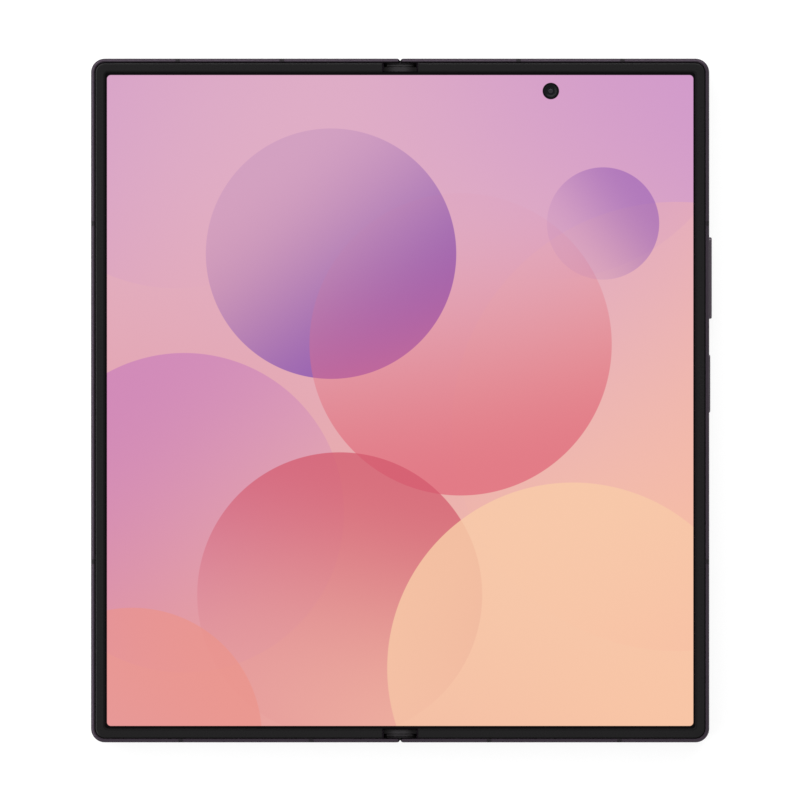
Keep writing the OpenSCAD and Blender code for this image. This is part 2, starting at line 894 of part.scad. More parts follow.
module friction_washers() color("silver") on_feet() {
  both_ends() for (x = [-gear_x, -pitch_r, pitch_r, gear_x])
    for (y = [gear_wall_in + lay, gear_station_y + gear_w / 2 + lay]) difference() {
      gear_hole(x, washer_r, y, y + washer_t);
      gear_hole(x, shaft_r + seat, y - past, y + washer_t + past);
    }
}

// Guide in the half that the gear's arm slides in
guide_wall = 0.35;
guide_slot_low = arm_low - arm_drop;
guide_slot_top = arm_top + arm_rise + 2 * seat;
guide_low = guide_slot_low - guide_wall;

module arm_guides() {
  for (y = guide_ys) difference() {
    box_between(
      [bracket_in, y - arm_w / 2 - 2 * guide_wall, guide_low],
      [bracket_out, y + arm_w / 2 + 2 * guide_wall, deck_low - lay]);
    box_between(
      [bracket_in - past, y - arm_w / 2 - side_gap, guide_slot_low],
      [arm_out + 2 * side_gap, y + arm_w / 2 + side_gap, guide_slot_top]);
    bracket_screw_hole(guide_screw_x, y);
  }
}

module right_arm_guides() color("gray") on_feet() {
  arm_guides();
}

module left_arm_guides() color("gray") on_feet() mirrored_x() {
  arm_guides();
}

// Thin cables that cross under the wings from one half to the other
flex_t = 0.1;
flex_high = rail_arm_top - flex_t;
flex_low = spine_floor + 5 * flex_t;
flex_flat = 0.9;
flex_route = [
  [bracket_out + 2 * flex_t, flex_high], [cap_half_w - 0.25, flex_high],
  [axis_x + flex_flat, flex_high - 2 * flex_t], [flex_flat, flex_low]
];

module flex_outline() {
  for (i = [0 : len(flex_route) - 2]) hull() {
    translate(flex_route[i]) circle(flex_t / 2);
    translate(flex_route[i + 1]) circle(flex_t / 2);
  }
  translate([-lay, flex_low - flex_t / 2]) square([flex_flat + lay, flex_t]);
}

module flex_cables() color("peru") on_feet() {
  both_ends() along_y(flex_y - flex_w / 2, flex_y + flex_w / 2) {
    flex_outline();
    mirror([1, 0]) flex_outline();
  }
}

// ---- Right half: rear cover and cameras ----

// Plan of a rear glass, which starts at the skirt's strip
module rear_plan() {
  half_plan(skirt_w + seat, rim_w + seat, corner_r - rim_w - seat);
}

module island_plan(grow) {
  translate([cam_x, cam_y]) rotate(90) stadium(island_straight + island_w + 2 * grow, island_w + 2 * grow);
}

module rear_cover() color(metal) on_feet() {
  between_z(0, rear_glass_t) difference() {
    rear_plan();
    island_plan(lay);
  }
}

lens_lip = 0.4;
lens_drop = 0.4;

module island_profile() {
  depth = island_h + rear_glass_t;
  square([island_r - island_edge_r, depth]);
  translate([0, island_edge_r]) square([island_r, depth - island_edge_r]);
  translate([island_r - island_edge_r, island_edge_r]) circle(island_edge_r);
}

module camera_island() color(metal) on_feet() {
  difference() {
    translate([cam_x, cam_y, -island_h]) {
      for (s = [-1, 1]) translate([0, s * island_straight / 2, 0]) rotate_extrude() island_profile();
      along_y(-island_straight / 2, island_straight / 2) {
        island_profile();
        mirror([1, 0]) island_profile();
      }
    }
    for (y = lens_ys) translate([cam_x, y, -island_h - past]) cylinder(r = lens_r - lens_lip, h = half_t);
    translate([flash_x, flash_y, -island_h - past]) cylinder(r = flash_r + seat, h = half_t);
  }
}

module lens_rings() color("dimgray") on_feet() {
  chamfer = 0.18;
  for (y = lens_ys) translate([cam_x, y, -lift]) rotate_extrude() polygon([
    [lens_r, chamfer], [lens_r + chamfer, 0], [lens_ring_r - chamfer, 0],
    [lens_ring_r, chamfer], [lens_ring_r, lens_ring_h], [lens_r, lens_ring_h]
  ]);
}

module lens_glasses() color(glass_black) on_feet() {
  for (y = lens_ys) translate([cam_x, y, lens_drop - lift])
    cylinder(r = lens_r - seat, h = lens_ring_h - lens_drop);
}

module camera_modules() color(glass_black) on_feet() {
  for (y = lens_ys) {
    translate([cam_x, y, 0]) between_z(rear_glass_t + lay, bay_top)
      rounded_rect(-cam_block / 2, cam_block / 2, -cam_block / 2, cam_block / 2, lens_lip);
    translate([cam_x, y, lay - island_h])
      cylinder(r = lens_r - 2 * lens_lip, h = island_h + rear_glass_t + lay);
  }
}

module flash_window() color("ivory") on_feet() {
  translate([flash_x, flash_y, lay - island_h]) cylinder(r = flash_r, h = island_h + rear_glass_t);
}

module inner_camera() color(glass_black) on_feet() {
  camera_low = ledge_top + rim_gap;
  translate([front_cam_x, front_cam_y, camera_low])
    cylinder(r = front_cam_r + front_cam_wall - 2 * side_gap, h = plate_top - camera_low);
}

module inner_camera_window() color(glass_black) on_feet() {
  translate([front_cam_x, front_cam_y, panel_low - lay + seat])
    cylinder(r = front_cam_r - seat, h = panel_t + lay - 2 * seat);
}

// ---- Right half: boards, battery and parts on its rim ----

bay_low = ledge_top + seat;
part_gap = 1;
part_r = 1;
chip_r = 0.3;
board_low = 1.3;
board_t = 0.4;
board_y0 = lens_ys[0] - cam_block / 4;
board_x1 = cam_x - cam_block / 2 - part_gap;

// Chip that fills a share of the plan from corner low to corner high
module chip(low, high, from, to) {
  size = high - low;
  rounded_rect(
    low[0] + from[0] * size[0], low[0] + to[0] * size[0],
    low[1] + from[1] * size[1], low[1] + to[1] * size[1], chip_r);
}

module board_plan() {
  difference() {
    rounded_rect(bay_in, board_x1, board_y0, bay_y, part_r);
    translate([front_cam_x, front_cam_y]) circle(front_cam_r + front_cam_wall + chip_r);
  }
}

module main_board() color(board_green) on_feet() {
  low = [bay_in, board_y0];
  high = [board_x1, bay_y];
  between_z(board_low, board_low + board_t) board_plan();
  between_z(board_low + board_t - seat, bay_top - 2 * side_gap) {
    chip(low, high, [0.08, 0.07], [0.44, 0.33]);
    chip(low, high, [0.52, 0.07], [0.82, 0.27]);
    chip(low, high, [0.08, 0.42], [0.32, 0.62]);
    chip(low, high, [0.42, 0.42], [0.74, 0.6]);
  }
}

module board_shield() color(steel) on_feet() {
  wall = 0.15;
  x0 = bay_in + part_gap;
  x1 = board_x1 - part_gap;
  y0 = board_y0 + part_gap;
  y1 = front_cam_y - front_cam_r - front_cam_wall - 2 * part_gap;
  difference() {
    between_z(bay_low, board_low - seat) rounded_rect(x0, x1, y0, y1, part_r);
    between_z(bay_low + wall, board_low + past)
      rounded_rect(x0 + wall, x1 - wall, y0 + wall, y1 - wall, part_r - wall);
  }
}

battery_gap = 2.5;
battery_x1 = bay_out - battery_gap - 2 * part_gap;
lower_bay_h = 25;
right_battery_y0 = lower_bay_h - half_h;
right_battery_y1 = lens_ys[0] - cam_block / 2 - battery_gap;

module right_battery() color(foil) on_feet() {
  between_z(bay_low + lay, bay_top)
    rounded_rect(bay_in, battery_x1, right_battery_y0, right_battery_y1, part_r);
}

module charging_coil() color("peru") on_feet() {
  coil_r = 20;
  coil_w = 11;
  translate([bay_in + coil_r + part_gap, (right_battery_y0 + right_battery_y1) / 2, 0])
    between_z(rear_glass_t + seat, bay_low) difference() {
      circle(coil_r);
      circle(coil_r - coil_w);
    }
}

module usb_port() color(steel) on_feet() {
  mouth = 0.25;
  back_t = 0.4;
  tongue_in = 1.2;
  tongue_w = 6.6;
  tongue_t = 0.7;
  difference() {
    along_y(mouth - half_h, usb_depth - half_h) usb_outline(0);
    along_y(-half_h, usb_depth - back_t - half_h) usb_outline(-usb_wall);
  }
  along_y(tongue_in - half_h, usb_depth - back_t / 2 - half_h)
    translate([usb_x - tongue_w / 2, usb_z - tongue_t / 2]) square([tongue_w, tongue_t]);
}

module loudspeaker() color(glass_black) on_feet() {
  x0 = usb_x + usb_w / 2 + 4 * part_gap;
  y1 = right_battery_y0 - battery_gap;
  box_w = battery_x1 - x0;
  port_h = 1.2;
  between_z(bay_low, bay_top) difference() {
    rounded_rect(x0, battery_x1, -bay_y, y1, part_r);
    translate([x0 + 0.3 * box_w, y1 - 5 * port_h]) square([0.25 * box_w, port_h]);
  }
}

module vibration_motor() color(steel) on_feet() {
  motor_w = 12;
  motor_h = 9;
  between_z(bay_low, bay_top) translate([bay_in + 2 * part_gap, part_gap - bay_y])
    rounded_rect(0, motor_w, 0, motor_h, 1.5 * part_r);
}

module key_switches() color("goldenrod") on_feet() {
  strip_t = 0.2;
  dome_h = 0.3;
  dome_r = 0.6;
  strip_x = switch_face - dome_h - strip_t;
  box_between(
    [strip_x, power_y - power_len / 2, key_z - key_w / 2],
    [strip_x + strip_t, volume_y + volume_len / 2, key_z + key_w / 2]);
  for (y = [power_y, volume_y - volume_len / 3, volume_y + volume_len / 3])
    translate([strip_x + strip_t - seat, y, key_z])
      rotate([0, 90, 0]) cylinder(r = dome_r, h = dome_h + seat);
}

magnet_w = 2;
magnet_len = 9;
magnet_in = 22;

module magnets(low) {
  x0 = bay_out - part_gap - magnet_w;
  y0 = magnet_in - half_h;
  both_ends() between_z(low, bay_top) rounded_rect(x0, x0 + magnet_w, y0, y0 + magnet_len, chip_r);
}

module right_magnets() color("silver") on_feet() {
  magnets(bay_low + 2 * side_gap);
}

// ---- Left half: outer display, battery and SIM ----

outer_panel_t = 0.5;
outer_panel_top = rear_glass_t + seat + outer_panel_t;
outer_panel_gap = 1;
outer_cam_drop = 9;
outer_cam_y = half_h - outer_cam_drop;
outer_cam_r = 2;
left_low = outer_panel_top + 0.8 * side_gap;
ear_slot_w = 10;
ear_slot_h = 0.5;
ear_slot_y = half_h - rim_w - 1.4 * ear_slot_h;
ear_duct_h = 1.3;
ear_box_w = 13;

module outer_glass() color(glass_black) on_feet() mirrored_x() {
  between_z(0, rear_glass_t) difference() {
    rear_plan();
    translate([sim_x, ear_slot_y]) stadium(ear_slot_w, ear_slot_h);
  }
}

module outer_display() color([0.08, 0.08, 0.1]) on_feet() mirrored_x() {
  between_z(rear_glass_t + seat, outer_panel_top) difference() {
    half_plan(ledge_in + lay, rim_w + outer_panel_gap, corner_r - rim_w - outer_panel_gap);
    translate([sim_x, outer_cam_y]) circle(outer_cam_r);
    translate([sim_x - ear_box_w / 2 - side_gap, half_h - rim_w - 2 * ear_duct_h])
      square([ear_box_w + 2 * side_gap, 2 * ear_duct_h]);
  }
}

module outer_camera() color(glass_black) on_feet() mirrored_x() {
  translate([sim_x, outer_cam_y, rear_glass_t + seat])
    cylinder(r = outer_cam_r - side_gap, h = bay_top - rear_glass_t - 2 * side_gap);
}

module earpiece() color(glass_black) on_feet() mirrored_x() {
  duct_y = half_h - rim_w - outer_panel_gap - side_gap;
  between_z(left_low, bay_top) rounded_rect(
    sim_x - ear_box_w / 2, sim_x + ear_box_w / 2, outer_cam_y + outer_cam_r + rim_gap, bay_y, rim_gap);
  between_z(rear_glass_t + seat, left_low + seat) rounded_rect(
    sim_x - ear_slot_w / 2, sim_x + ear_slot_w / 2, duct_y - ear_duct_h, duct_y, chip_r);
}

sub_board_t = 0.35;
sub_board_y1 = lower_bay_h - half_h;
sub_board_x1 = bay_out - magnet_w - 2 * part_gap;

module sub_board() color(board_green) on_feet() mirrored_x() {
  low = [bay_in, -bay_y];
  high = [sub_board_x1, sub_board_y1];
  between_z(left_low, left_low + sub_board_t) rounded_rect(low[0], high[0], low[1], high[1], part_r);
  between_z(left_low + sub_board_t - seat, bay_top - 3 * side_gap) {
    chip(low, high, [0.03, 0.5], [0.22, 0.92]);
    chip(low, high, [0.8, 0.55], [0.96, 0.92]);
  }
}

module left_battery() color(foil) on_feet() mirrored_x() {
  between_z(left_low + lay, bay_top)
    rounded_rect(bay_in, battery_x1, sub_board_y1 + battery_gap, outer_cam_y - 2 * battery_gap, part_r);
}

module left_magnets() color("silver") on_feet() mirrored_x() {
  magnets(left_low);
}

// Head of the tray in the rim, grown by a clearance and cut to a depth
module sim_head(grow, depth) {
  along_y(-half_h - (grow > 0 ? past : 0), depth - half_h)
    translate([sim_x, sim_z]) stadium(sim_head_w + 2 * grow, sim_head_h + 2 * grow);
}

sim_floor = 0.15;
sim_wall = 1;
sim_r = 0.8;

module sim_tray() color(metal) on_feet() mirrored_x() {
  difference() {
    union() {
      sim_head(0, rim_w);
      between_z(sim_z - sim_t / 2, sim_z + sim_t / 2)
        rounded_rect(sim_x - sim_w / 2, sim_x + sim_w / 2, rim_w / 2 - half_h, sim_depth - half_h, sim_r);
    }
    between_z(sim_z - sim_t / 2 + sim_floor, half_t) rounded_rect(
      sim_x - sim_w / 2 + sim_wall, sim_x + sim_w / 2 - sim_wall,
      rim_w + 2 * sim_wall - half_h, sim_depth - sim_wall - half_h, sim_r);
    translate([sim_x - sim_head_w / 2 + 1.2, rim_w + past - half_h, sim_z])
      rotate([90, 0, 0]) cylinder(r = pin_hole_r, h = rim_w + 2 * past);
  }
}

module sim_reader() color(steel) on_feet() mirrored_x() {
  wall = 0.25;
  side = sim_w / 2 + 2 * sim_clear;
  y0 = rim_w + part_gap - half_h;
  y1 = sim_depth + 3 * wall - half_h;
  difference() {
    box_between(
      [sim_x - side - wall, y0, left_low + sub_board_t + seat],
      [sim_x + side + wall, y1, deck_low - lay]);
    box_between(
      [sim_x - side, y0 - past, sim_z - sim_t / 2 - sim_clear],
      [sim_x + side, y1 - wall, sim_z + sim_t / 2 + sim_clear]);
  }
}

// ---- Keys ----

// Key cap through the rim and the flange that keeps it in
module key(y, len, proud) {
  along_x(flange_out - flange_t, half_w + proud) translate([y, key_z]) stadium(len, key_w);
  box_between(
    [flange_out - flange_t, y - len / 2 - flange_reach, key_z - key_w / 2],
    [flange_out, y + len / 2 + flange_reach, key_z + key_w / 2]);
}

module volume_key() color(metal) on_feet() {
  key(volume_y, volume_len, volume_proud);
  translate([volume_pivot_x, volume_y, key_z - key_w / 2]) cylinder(r = key_pivot_r, h = key_w);
}

module power_key() color(metal) on_feet() {
  key(power_y, power_len, power_proud);
}

right_frame();
right_antenna_breaks();
right_bezel();
rear_cover();
camera_island();
lens_rings();
lens_glasses();
camera_modules();
flash_window();
main_board();
board_shield();
right_battery();
charging_coil();
usb_port();
loudspeaker();
vibration_motor();
key_switches();
right_magnets();
inner_camera();
inner_camera_window();
display_right();
right_support_plate();
right_rails();
right_arm_guides();
right_bracket_screws();
left_frame();
left_antenna_breaks();
left_bezel();
outer_glass();
outer_display();
outer_camera();
earpiece();
sub_board();
left_battery();
sim_reader();
left_magnets();
display_left();
left_support_plate();
left_rails();
left_arm_guides();
left_bracket_screws();
hinge_spine();
hinge_end_caps();
hinge_bases();
base_screws();
gear_shafts();
friction_washers();
centre_plate();
flex_cables();
display_fold();
right_wing();
left_wing();
right_sync_arms();
left_sync_arms();
right_idlers();
left_idlers();
volume_key();
power_key();
sim_tray();
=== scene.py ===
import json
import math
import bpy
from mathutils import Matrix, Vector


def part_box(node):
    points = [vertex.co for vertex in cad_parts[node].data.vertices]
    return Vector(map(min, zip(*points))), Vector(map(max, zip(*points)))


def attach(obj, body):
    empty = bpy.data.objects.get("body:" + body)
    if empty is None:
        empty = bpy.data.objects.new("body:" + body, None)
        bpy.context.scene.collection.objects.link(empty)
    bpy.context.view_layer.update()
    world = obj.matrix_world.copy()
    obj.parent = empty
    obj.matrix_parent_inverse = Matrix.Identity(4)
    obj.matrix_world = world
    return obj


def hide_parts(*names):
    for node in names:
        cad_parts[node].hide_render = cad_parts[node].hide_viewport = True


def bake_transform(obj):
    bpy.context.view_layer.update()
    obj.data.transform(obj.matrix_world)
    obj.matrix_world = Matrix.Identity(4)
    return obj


bl_info = {
    "name": "Folding Phone Look",
    "version": (1, 0, 0),
    "blender": (4, 5, 0),
    "location": "3D View > Sidebar > Phone",
    "description": "Builds the screen, bezels, keys and cameras of a folding phone and finishes its parts",
    "category": "Object",
}

import bmesh
import bpy
from bpy.props import FloatProperty, FloatVectorProperty, IntProperty, PointerProperty

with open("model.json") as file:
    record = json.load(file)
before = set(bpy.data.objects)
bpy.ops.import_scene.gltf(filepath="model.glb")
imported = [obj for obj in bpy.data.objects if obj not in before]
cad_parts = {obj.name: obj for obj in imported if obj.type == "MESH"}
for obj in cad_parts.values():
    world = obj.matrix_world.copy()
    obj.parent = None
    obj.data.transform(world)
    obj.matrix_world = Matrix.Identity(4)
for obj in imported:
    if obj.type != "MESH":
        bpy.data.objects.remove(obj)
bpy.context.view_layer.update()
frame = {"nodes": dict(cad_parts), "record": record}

MM = 0.001
SIDES = (("right", 1), ("left", -1))
SLOTS = {part["node"]: part["material_slot"] for part in frame["record"]["subparts"]}

# Places that several pieces share, taken from the frame
FRAME_LOW, FRAME_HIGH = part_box("right_frame")
BEZEL_LOW, BEZEL_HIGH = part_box("right_bezel")
PANEL_LOW, PANEL_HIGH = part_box("display_right")
WINDOW_LOW, WINDOW_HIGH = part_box("inner_camera_window")
HALF_W = FRAME_HIGH.x
HALF_H = FRAME_HIGH.y
FRONT_Z = FRAME_HIGH.z
REAR_Z = FRAME_LOW.z
WINDOW_X = (WINDOW_LOW.x + WINDOW_HIGH.x) / 2
WINDOW_Y = (WINDOW_LOW.y + WINDOW_HIGH.y) / 2

# The fold's two axes lie this far either side of the fold line, at this height
AXIS_X = 1.325 * MM
AXIS_Z = 5.025 * MM
# Corner radii in plan just inside the rim, at the bezel's lip and of the panel
RIM_CORNER = 2.28 * MM
LIP_CORNER = 0.8 * MM
PANEL_CORNER = 0.9 * MM
# Fine edge rounding of small sheets
FINE_EDGE = 0.02 * MM
# Places of the soft lamps, in metres, and the way that the level light comes from
LAMP_PLACES = (("top_lamp", (0.0, 1.0, 0.85)), ("left_lamp", (-1.0, 0.0, 0.85)))
LIGHT_WAY = (-0.5, 0.87, 0.0)


def linear(value):
    """Linear value of an 8-bit sRGB one."""
    share = value / 255
    return share / 12.92 if share <= 0.04045 else ((share + 0.055) / 1.055) ** 2.4


def colour(red, green, blue):
    """Linear colour of an 8-bit sRGB one."""
    return (linear(red), linear(green), linear(blue), 1.0)


def colour_prop(name, description, rgb):
    """A colour setting, given in 8-bit sRGB."""
    return FloatVectorProperty(
        name=name, description=description, subtype="COLOR", size=4, min=0, max=1, default=colour(*rgb)
    )


def length_prop(name, description, millimetres):
    """A length setting, given in millimetres."""
    return FloatProperty(name=name, description=description, unit="LENGTH", default=millimetres * MM)


# ---- Settings ----


class PhoneStageSettings(bpy.types.PropertyGroup):
    photo_width: length_prop("Photo Width", "Width that the camera sees at the screen", 185.24)
    aim_x: length_prop("Aim X", "Camera's place across the phone", -0.035)
    aim_y: length_prop("Aim Y", "Camera's place along the fold line", 0.116)
    lens: FloatProperty(
        name="Lens", description="Focal length of the camera in millimetres", unit="CAMERA", default=300
    )
    floor_size: length_prop("Floor Size", "Side of the floor", 6000)
    floor_colour: colour_prop("Floor", "Colour of the floor", (150, 150, 150))
    floor_lift: FloatProperty(
        name="Floor Lift", description="Glow that takes the lit floor to white where it is seen", default=0.85
    )
    overhead: FloatProperty(
        name="Overhead", description="Strength of the light from straight above", default=0.2
    )
    light_side: FloatProperty(
        name="Light Side", description="Strength of the level light from the upper left", default=0.8
    )
    dark_side: FloatProperty(
        name="Dark Side", description="Strength of the level light from the lower right", default=0.1
    )
    lamp_power: FloatProperty(
        name="Lamp Power", description="Power of each of the two soft lamps", unit="POWER", default=12.0
    )
    lamp_width: length_prop("Lamp Width", "Width of each soft lamp", 1800)
    lamp_height: length_prop("Lamp Height", "Height of each soft lamp", 450)


class PhoneScreenSettings(bpy.types.PropertyGroup):
    side_border: length_prop("Side Border", "Unlit edge of the panel on the left and right", 0.66)
    end_border: length_prop("End Border", "Unlit edge of the panel at the top and bottom", 0.79)
    lit_corner: length_prop("Lit Corner", "Corner radius of the lit picture", 0.9)
    camera_ring: length_prop("Camera Ring", "Radius of the unlit disc round the inner camera", 1.92)
    glow: FloatProperty(name="Glow", description="Strength of the lit picture", default=0.95)
    upper_left: colour_prop("Upper Left", "Picture's colour in its upper left corner", (230, 180, 201))
    upper_right: colour_prop("Upper Right", "Picture's colour in its upper right corner", (222, 168, 205))
    lower_left: colour_prop("Lower Left", "Picture's colour in its lower left corner", (234, 158, 160))
    lower_right: colour_prop("Lower Right", "Picture's colour in its lower right corner", (253, 199, 168))


class PhoneFinishSettings(bpy.types.PropertyGroup):
    metal: colour_prop("Metal", "Anodised frame and camera island", (58, 50, 59))
    key: colour_prop("Key Metal", "Polished metal of the keys", (80, 72, 80))
    breaks: colour_prop("Antenna Breaks", "Plastic inlays of the frame", (34, 29, 34))
    bezel: colour_prop("Bezel", "Soft frame round the screen", (19, 18, 19))
    # The lip's dark colour is painted shade of the gap between the bezel and the screen's edge
    lip: colour_prop("Lip", "Matt lip between the bezel and the screen", (8, 7, 8))
    # The caps' sides are painted darker than their middle, as painted shade where the crown falls away to the
    # shoulders
    cap: colour_prop("Hinge Caps", "Middle of the caps at the ends of the fold line", (50, 48, 50))
    cap_painted_shade: colour_prop("Cap Sides", "Sides of the caps at the ends of the fold line", (20, 18, 19))
    rear: colour_prop("Rear Cover", "Frosted cover of the rear", (74, 66, 76))
    outer_glass: colour_prop("Outer Glass", "Black glass of the outer screen", (9, 8, 10))


class PhoneShapeSettings(bpy.types.PropertyGroup):
    bezel_round: length_prop("Bezel Rounding", "Rounding of the bezel's outer edge", 0.5)
    lip_slope: length_prop("Lip Slope", "Width of the bezel's rounded slope at the screen", 0.45)
    lip_fall: length_prop("Lip Fall", "Height of the bezel's rounded slope at the screen", 0.17)
    key_round: length_prop("Key Rounding", "Rounding of the face of a key", 0.25)
    glass_round: length_prop("Glass Rounding", "Rounding of the rear glasses' edges", 0.12)
    fold_steps: IntProperty(name="Fold Steps", description="Strips in half of the fold", default=20)


# ---- Meshes ----


def middle(low, high):
    """Middle of a box, in X, Y and Z."""
    return tuple((a + b) / 2 for a, b in zip(low, high))


def arc_turns(start, end, steps):
    """Angles of an arc's points in radians, from a start and an end in degrees."""
    return [math.radians(start + (end - start) * step / steps) for step in range(steps + 1)]


def arc(centre_x, centre_y, radius, start, end, steps):
    """Points of an arc, with its angles in degrees."""
    turns = arc_turns(start, end, steps)
    return [(centre_x + radius * math.cos(t), centre_y + radius * math.sin(t)) for t in turns]


def half_outline(side, x_in, x_out, y_out, radius, steps=10):
    """Outline of a half from its lower end at the fold, round both outer corners, to its upper end."""
    points = [(x_in, -y_out)]
    points += arc(x_out - radius, radius - y_out, radius, -90, 0, steps)
    points += arc(x_out - radius, y_out - radius, radius, 0, 90, steps)
    points.append((x_in, y_out))
    return [(side * x, y) for x, y in points]


def circle(x, y, radius, steps=40):
    """Points of a full circle."""
    return arc(x, y, radius, 0, 360, steps)[:-1]


def stadium(x, y, length, width, steps=12):
    """Outline of a bar with round ends that runs along the first axis."""
    reach = (length - width) / 2
    return arc(x + reach, y, width / 2, -90, 90, steps) + arc(x - reach, y, width / 2, 90, 270, steps)


def turned_over(points):
    """The same outline with its axes swapped."""
    return [(y, x) for x, y in points]


def edge_steps(low, high, rounding, steps=4, both=True):
    """Insets and heights of a solid from low to high whose edges are rounded."""
    bend = arc_turns(0, 90, steps)
    upper = [(rounding * (1 - math.cos(t)), high - rounding * (1 - math.sin(t))) for t in bend]
    lower = [(rounding * (1 - math.sin(t)), low + rounding * (1 - math.cos(t))) for t in bend]
    return (lower if both else [(0, low)]) + upper


def flat(x, y, height):
    """Outlines drawn in X and Y that are stacked along Z."""
    return (x, y, height)


def sideways(y, z, x):
    """Outlines drawn in Y and Z that are stacked along X."""
    return (x, y, z)


def lengthways(x, z, y):
    """Outlines drawn in X and Z that are stacked along Y."""
    return (x, y, z)


def stack(bm, outlines_at, levels, place=flat):
    """Closes a solid over outlines that change with the inset. Any after the first are holes."""
    rings = []
    for inset, height in levels:
        rings.append(
            [[bm.verts.new(place(x, y, height)) for x, y in outline] for outline in outlines_at(inset)]
        )
    for below, above in zip(rings, rings[1:]):
        for low, high in zip(below, above):
            for i in range(len(low)):
                j = (i + 1) % len(low)
                bm.faces.new((low[i], low[j], high[j], high[i]))
    for ring in (rings[0], rings[-1]):
        edges = [bm.edges.get((line[i - 1], line[i])) for line in ring for i in range(len(line))]
        bmesh.ops.triangle_fill(bm, use_beauty=True, use_dissolve=False, edges=edges)


def band(bm, lines):
    """Closes a ring of open lines into a bar with flat ends."""
    verts = [[bm.verts.new(point) for point in line] for line in lines]
    for line, after in zip(verts, verts[1:] + verts[:1]):
        for i in range(len(line) - 1):
            bm.faces.new((line[i], line[i + 1], after[i + 1], after[i]))
    for end in (0, -1):
        edges = [bm.edges.get((verts[i - 1][end], verts[i][end])) for i in range(len(verts))]
        bmesh.ops.triangle_fill(bm, use_beauty=True, use_dissolve=False, edges=edges)


def turned(bm, x, y, profile, steps=48):
    """Turns a profile of radii and heights about a vertical axis. It starts and ends on the axis."""
    rings = []
    for radius, height in profile:
        count = 1 if radius == 0 else steps
        turns = [math.tau * step / steps for step in range(count)]
        rings.append(
            [bm.verts.new((x + radius * math.cos(t), y + radius * math.sin(t), height)) for t in turns]
        )
    for low, high in zip(rings, rings[1:]):
        for i in range(steps):
            j = (i + 1) % steps
            corners = [low[i % len(low)], low[j % len(low)], high[j % len(high)], high[i % len(high)]]
            bm.faces.new(list(dict.fromkeys(corners)))


def dome(radius, seat, height, under, last, steps):
    """Profile of a domed lens: its back under the seat, its curve up to an angle, and its top."""
    curve = [(radius * math.cos(t), seat + height * math.sin(t)) for t in arc_turns(0, last, steps)]
    return [(0, seat - under)] + curve + [(0, seat + height)]


def block(bm, low, high, rounding, steps=2):
    """Box between two corners with its plan and its upper and lower edges rounded."""

    def outlines(inset):
        x0, y0, x1, y1 = low[0] + inset, low[1] + inset, high[0] - inset, high[1] - inset
        r = max(rounding - inset, 0.2 * rounding)
        return [
            arc(x1 - r, y0 + r, r, -90, 0, steps)
            + arc(x1 - r, y1 - r, r, 0, 90, steps)
            + arc(x0 + r, y1 - r, r, 90, 180, steps)
            + arc(x0 + r, y0 + r, r, 180, 270, steps)
        ]

    stack(bm, outlines, edge_steps(low[2], high[2], rounding * 0.9, steps))


def make_piece(name, bm, slot_name, body, stands_for=(), material=None, sharp=40):
    """Makes an object of the mesh, finishes it and fixes it to its body."""
    bmesh.ops.recalc_face_normals(bm, faces=bm.faces)
    for face in bm.faces:
        face.smooth = True
    for edge in bm.edges:
        edge.smooth = edge.calc_face_angle(0.0) < math.radians(sharp)
    mesh = bpy.data.meshes.new(name)
    bm.to_mesh(mesh)
    bm.free()
    piece = bpy.data.objects.new(name, mesh)
    bpy.context.collection.objects.link(piece)
    mesh.materials.append(material or finish(slot_name))
    even = piece.modifiers.new("even_shading", "WEIGHTED_NORMAL")
    even.keep_sharp = True
    if body:
        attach(piece, body)
    if stands_for:
        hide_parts(*stands_for)
    return piece


def dress(*nodes):
    """Gives carried-over nodes the finish of their slot."""
    for node in nodes:
        piece = frame["nodes"][node]
        piece.data.materials.clear()
        piece.data.materials.append(finish(SLOTS[node]))


# ---- Materials ----


def feed(tree, socket, value):
    """Links another socket to a socket, or sets its value if one is given."""
    if isinstance(value, bpy.types.NodeSocket):
        tree.links.new(value, socket)
    elif value is not None:
        socket.default_value = value


def feed_node(tree, node, **inputs):
    """Feeds a node's inputs, named with _ for a space."""
    for name, value in inputs.items():
        feed(tree, node.inputs[name.replace("_", " ")], value)


def add_node(tree, kind, **inputs):
    """Adds a shader node and feeds its inputs."""
    node = tree.nodes.new(kind)
    feed_node(tree, node, **inputs)
    return node


def add_math(tree, operation, first, second=None):
    """Adds a Math node on values or sockets and returns its output."""
    node = tree.nodes.new("ShaderNodeMath")
    node.operation = operation
    feed(tree, node.inputs[0], first)
    feed(tree, node.inputs[1], second)
    return node.outputs[0]


def add_vector_math(tree, operation, first, second=None, scalar=False):
    """Adds a Vector Math node on values or sockets and returns its output."""
    node = tree.nodes.new("ShaderNodeVectorMath")
    node.operation = operation
    feed(tree, node.inputs[0], first)
    feed(tree, node.inputs[1], second)
    return node.outputs["Value" if scalar else "Vector"]


def add_range(tree, value, low, high, new_low, new_high, smooth=False):
    """Maps a socket from one range to another and clamps it. Ends may be sockets too."""
    node = add_node(
        tree, "ShaderNodeMapRange", Value=value, From_Min=low, From_Max=high, To_Min=new_low, To_Max=new_high
    )
    if smooth:
        node.interpolation_type = "SMOOTHSTEP"
    return node.outputs["Result"]


def add_mix(tree, share, first, second):
    """Mixes two colours, each a value or a socket."""
    node = tree.nodes.new("ShaderNodeMix")
    node.data_type = "RGBA"
    sockets = {socket.identifier: socket for socket in node.inputs}
    feed(tree, sockets["Factor_Float"], share)
    feed(tree, sockets["A_Color"], first)
    feed(tree, sockets["B_Color"], second)
    return next(socket for socket in node.outputs if socket.identifier == "Result_Color")


def new_group(name, inputs, outputs):
    """Starts a node group. Inputs and outputs are pairs of a name and a kind of socket."""
    tree = bpy.data.node_groups.new(name, "ShaderNodeTree")
    for label, kind in inputs:
        tree.interface.new_socket(name=label, in_out="INPUT", socket_type=f"NodeSocket{kind}")
    for label, kind in outputs:
        tree.interface.new_socket(name=label, in_out="OUTPUT", socket_type=f"NodeSocket{kind}")
    return tree, tree.nodes.new("NodeGroupInput").outputs, tree.nodes.new("NodeGroupOutput").inputs


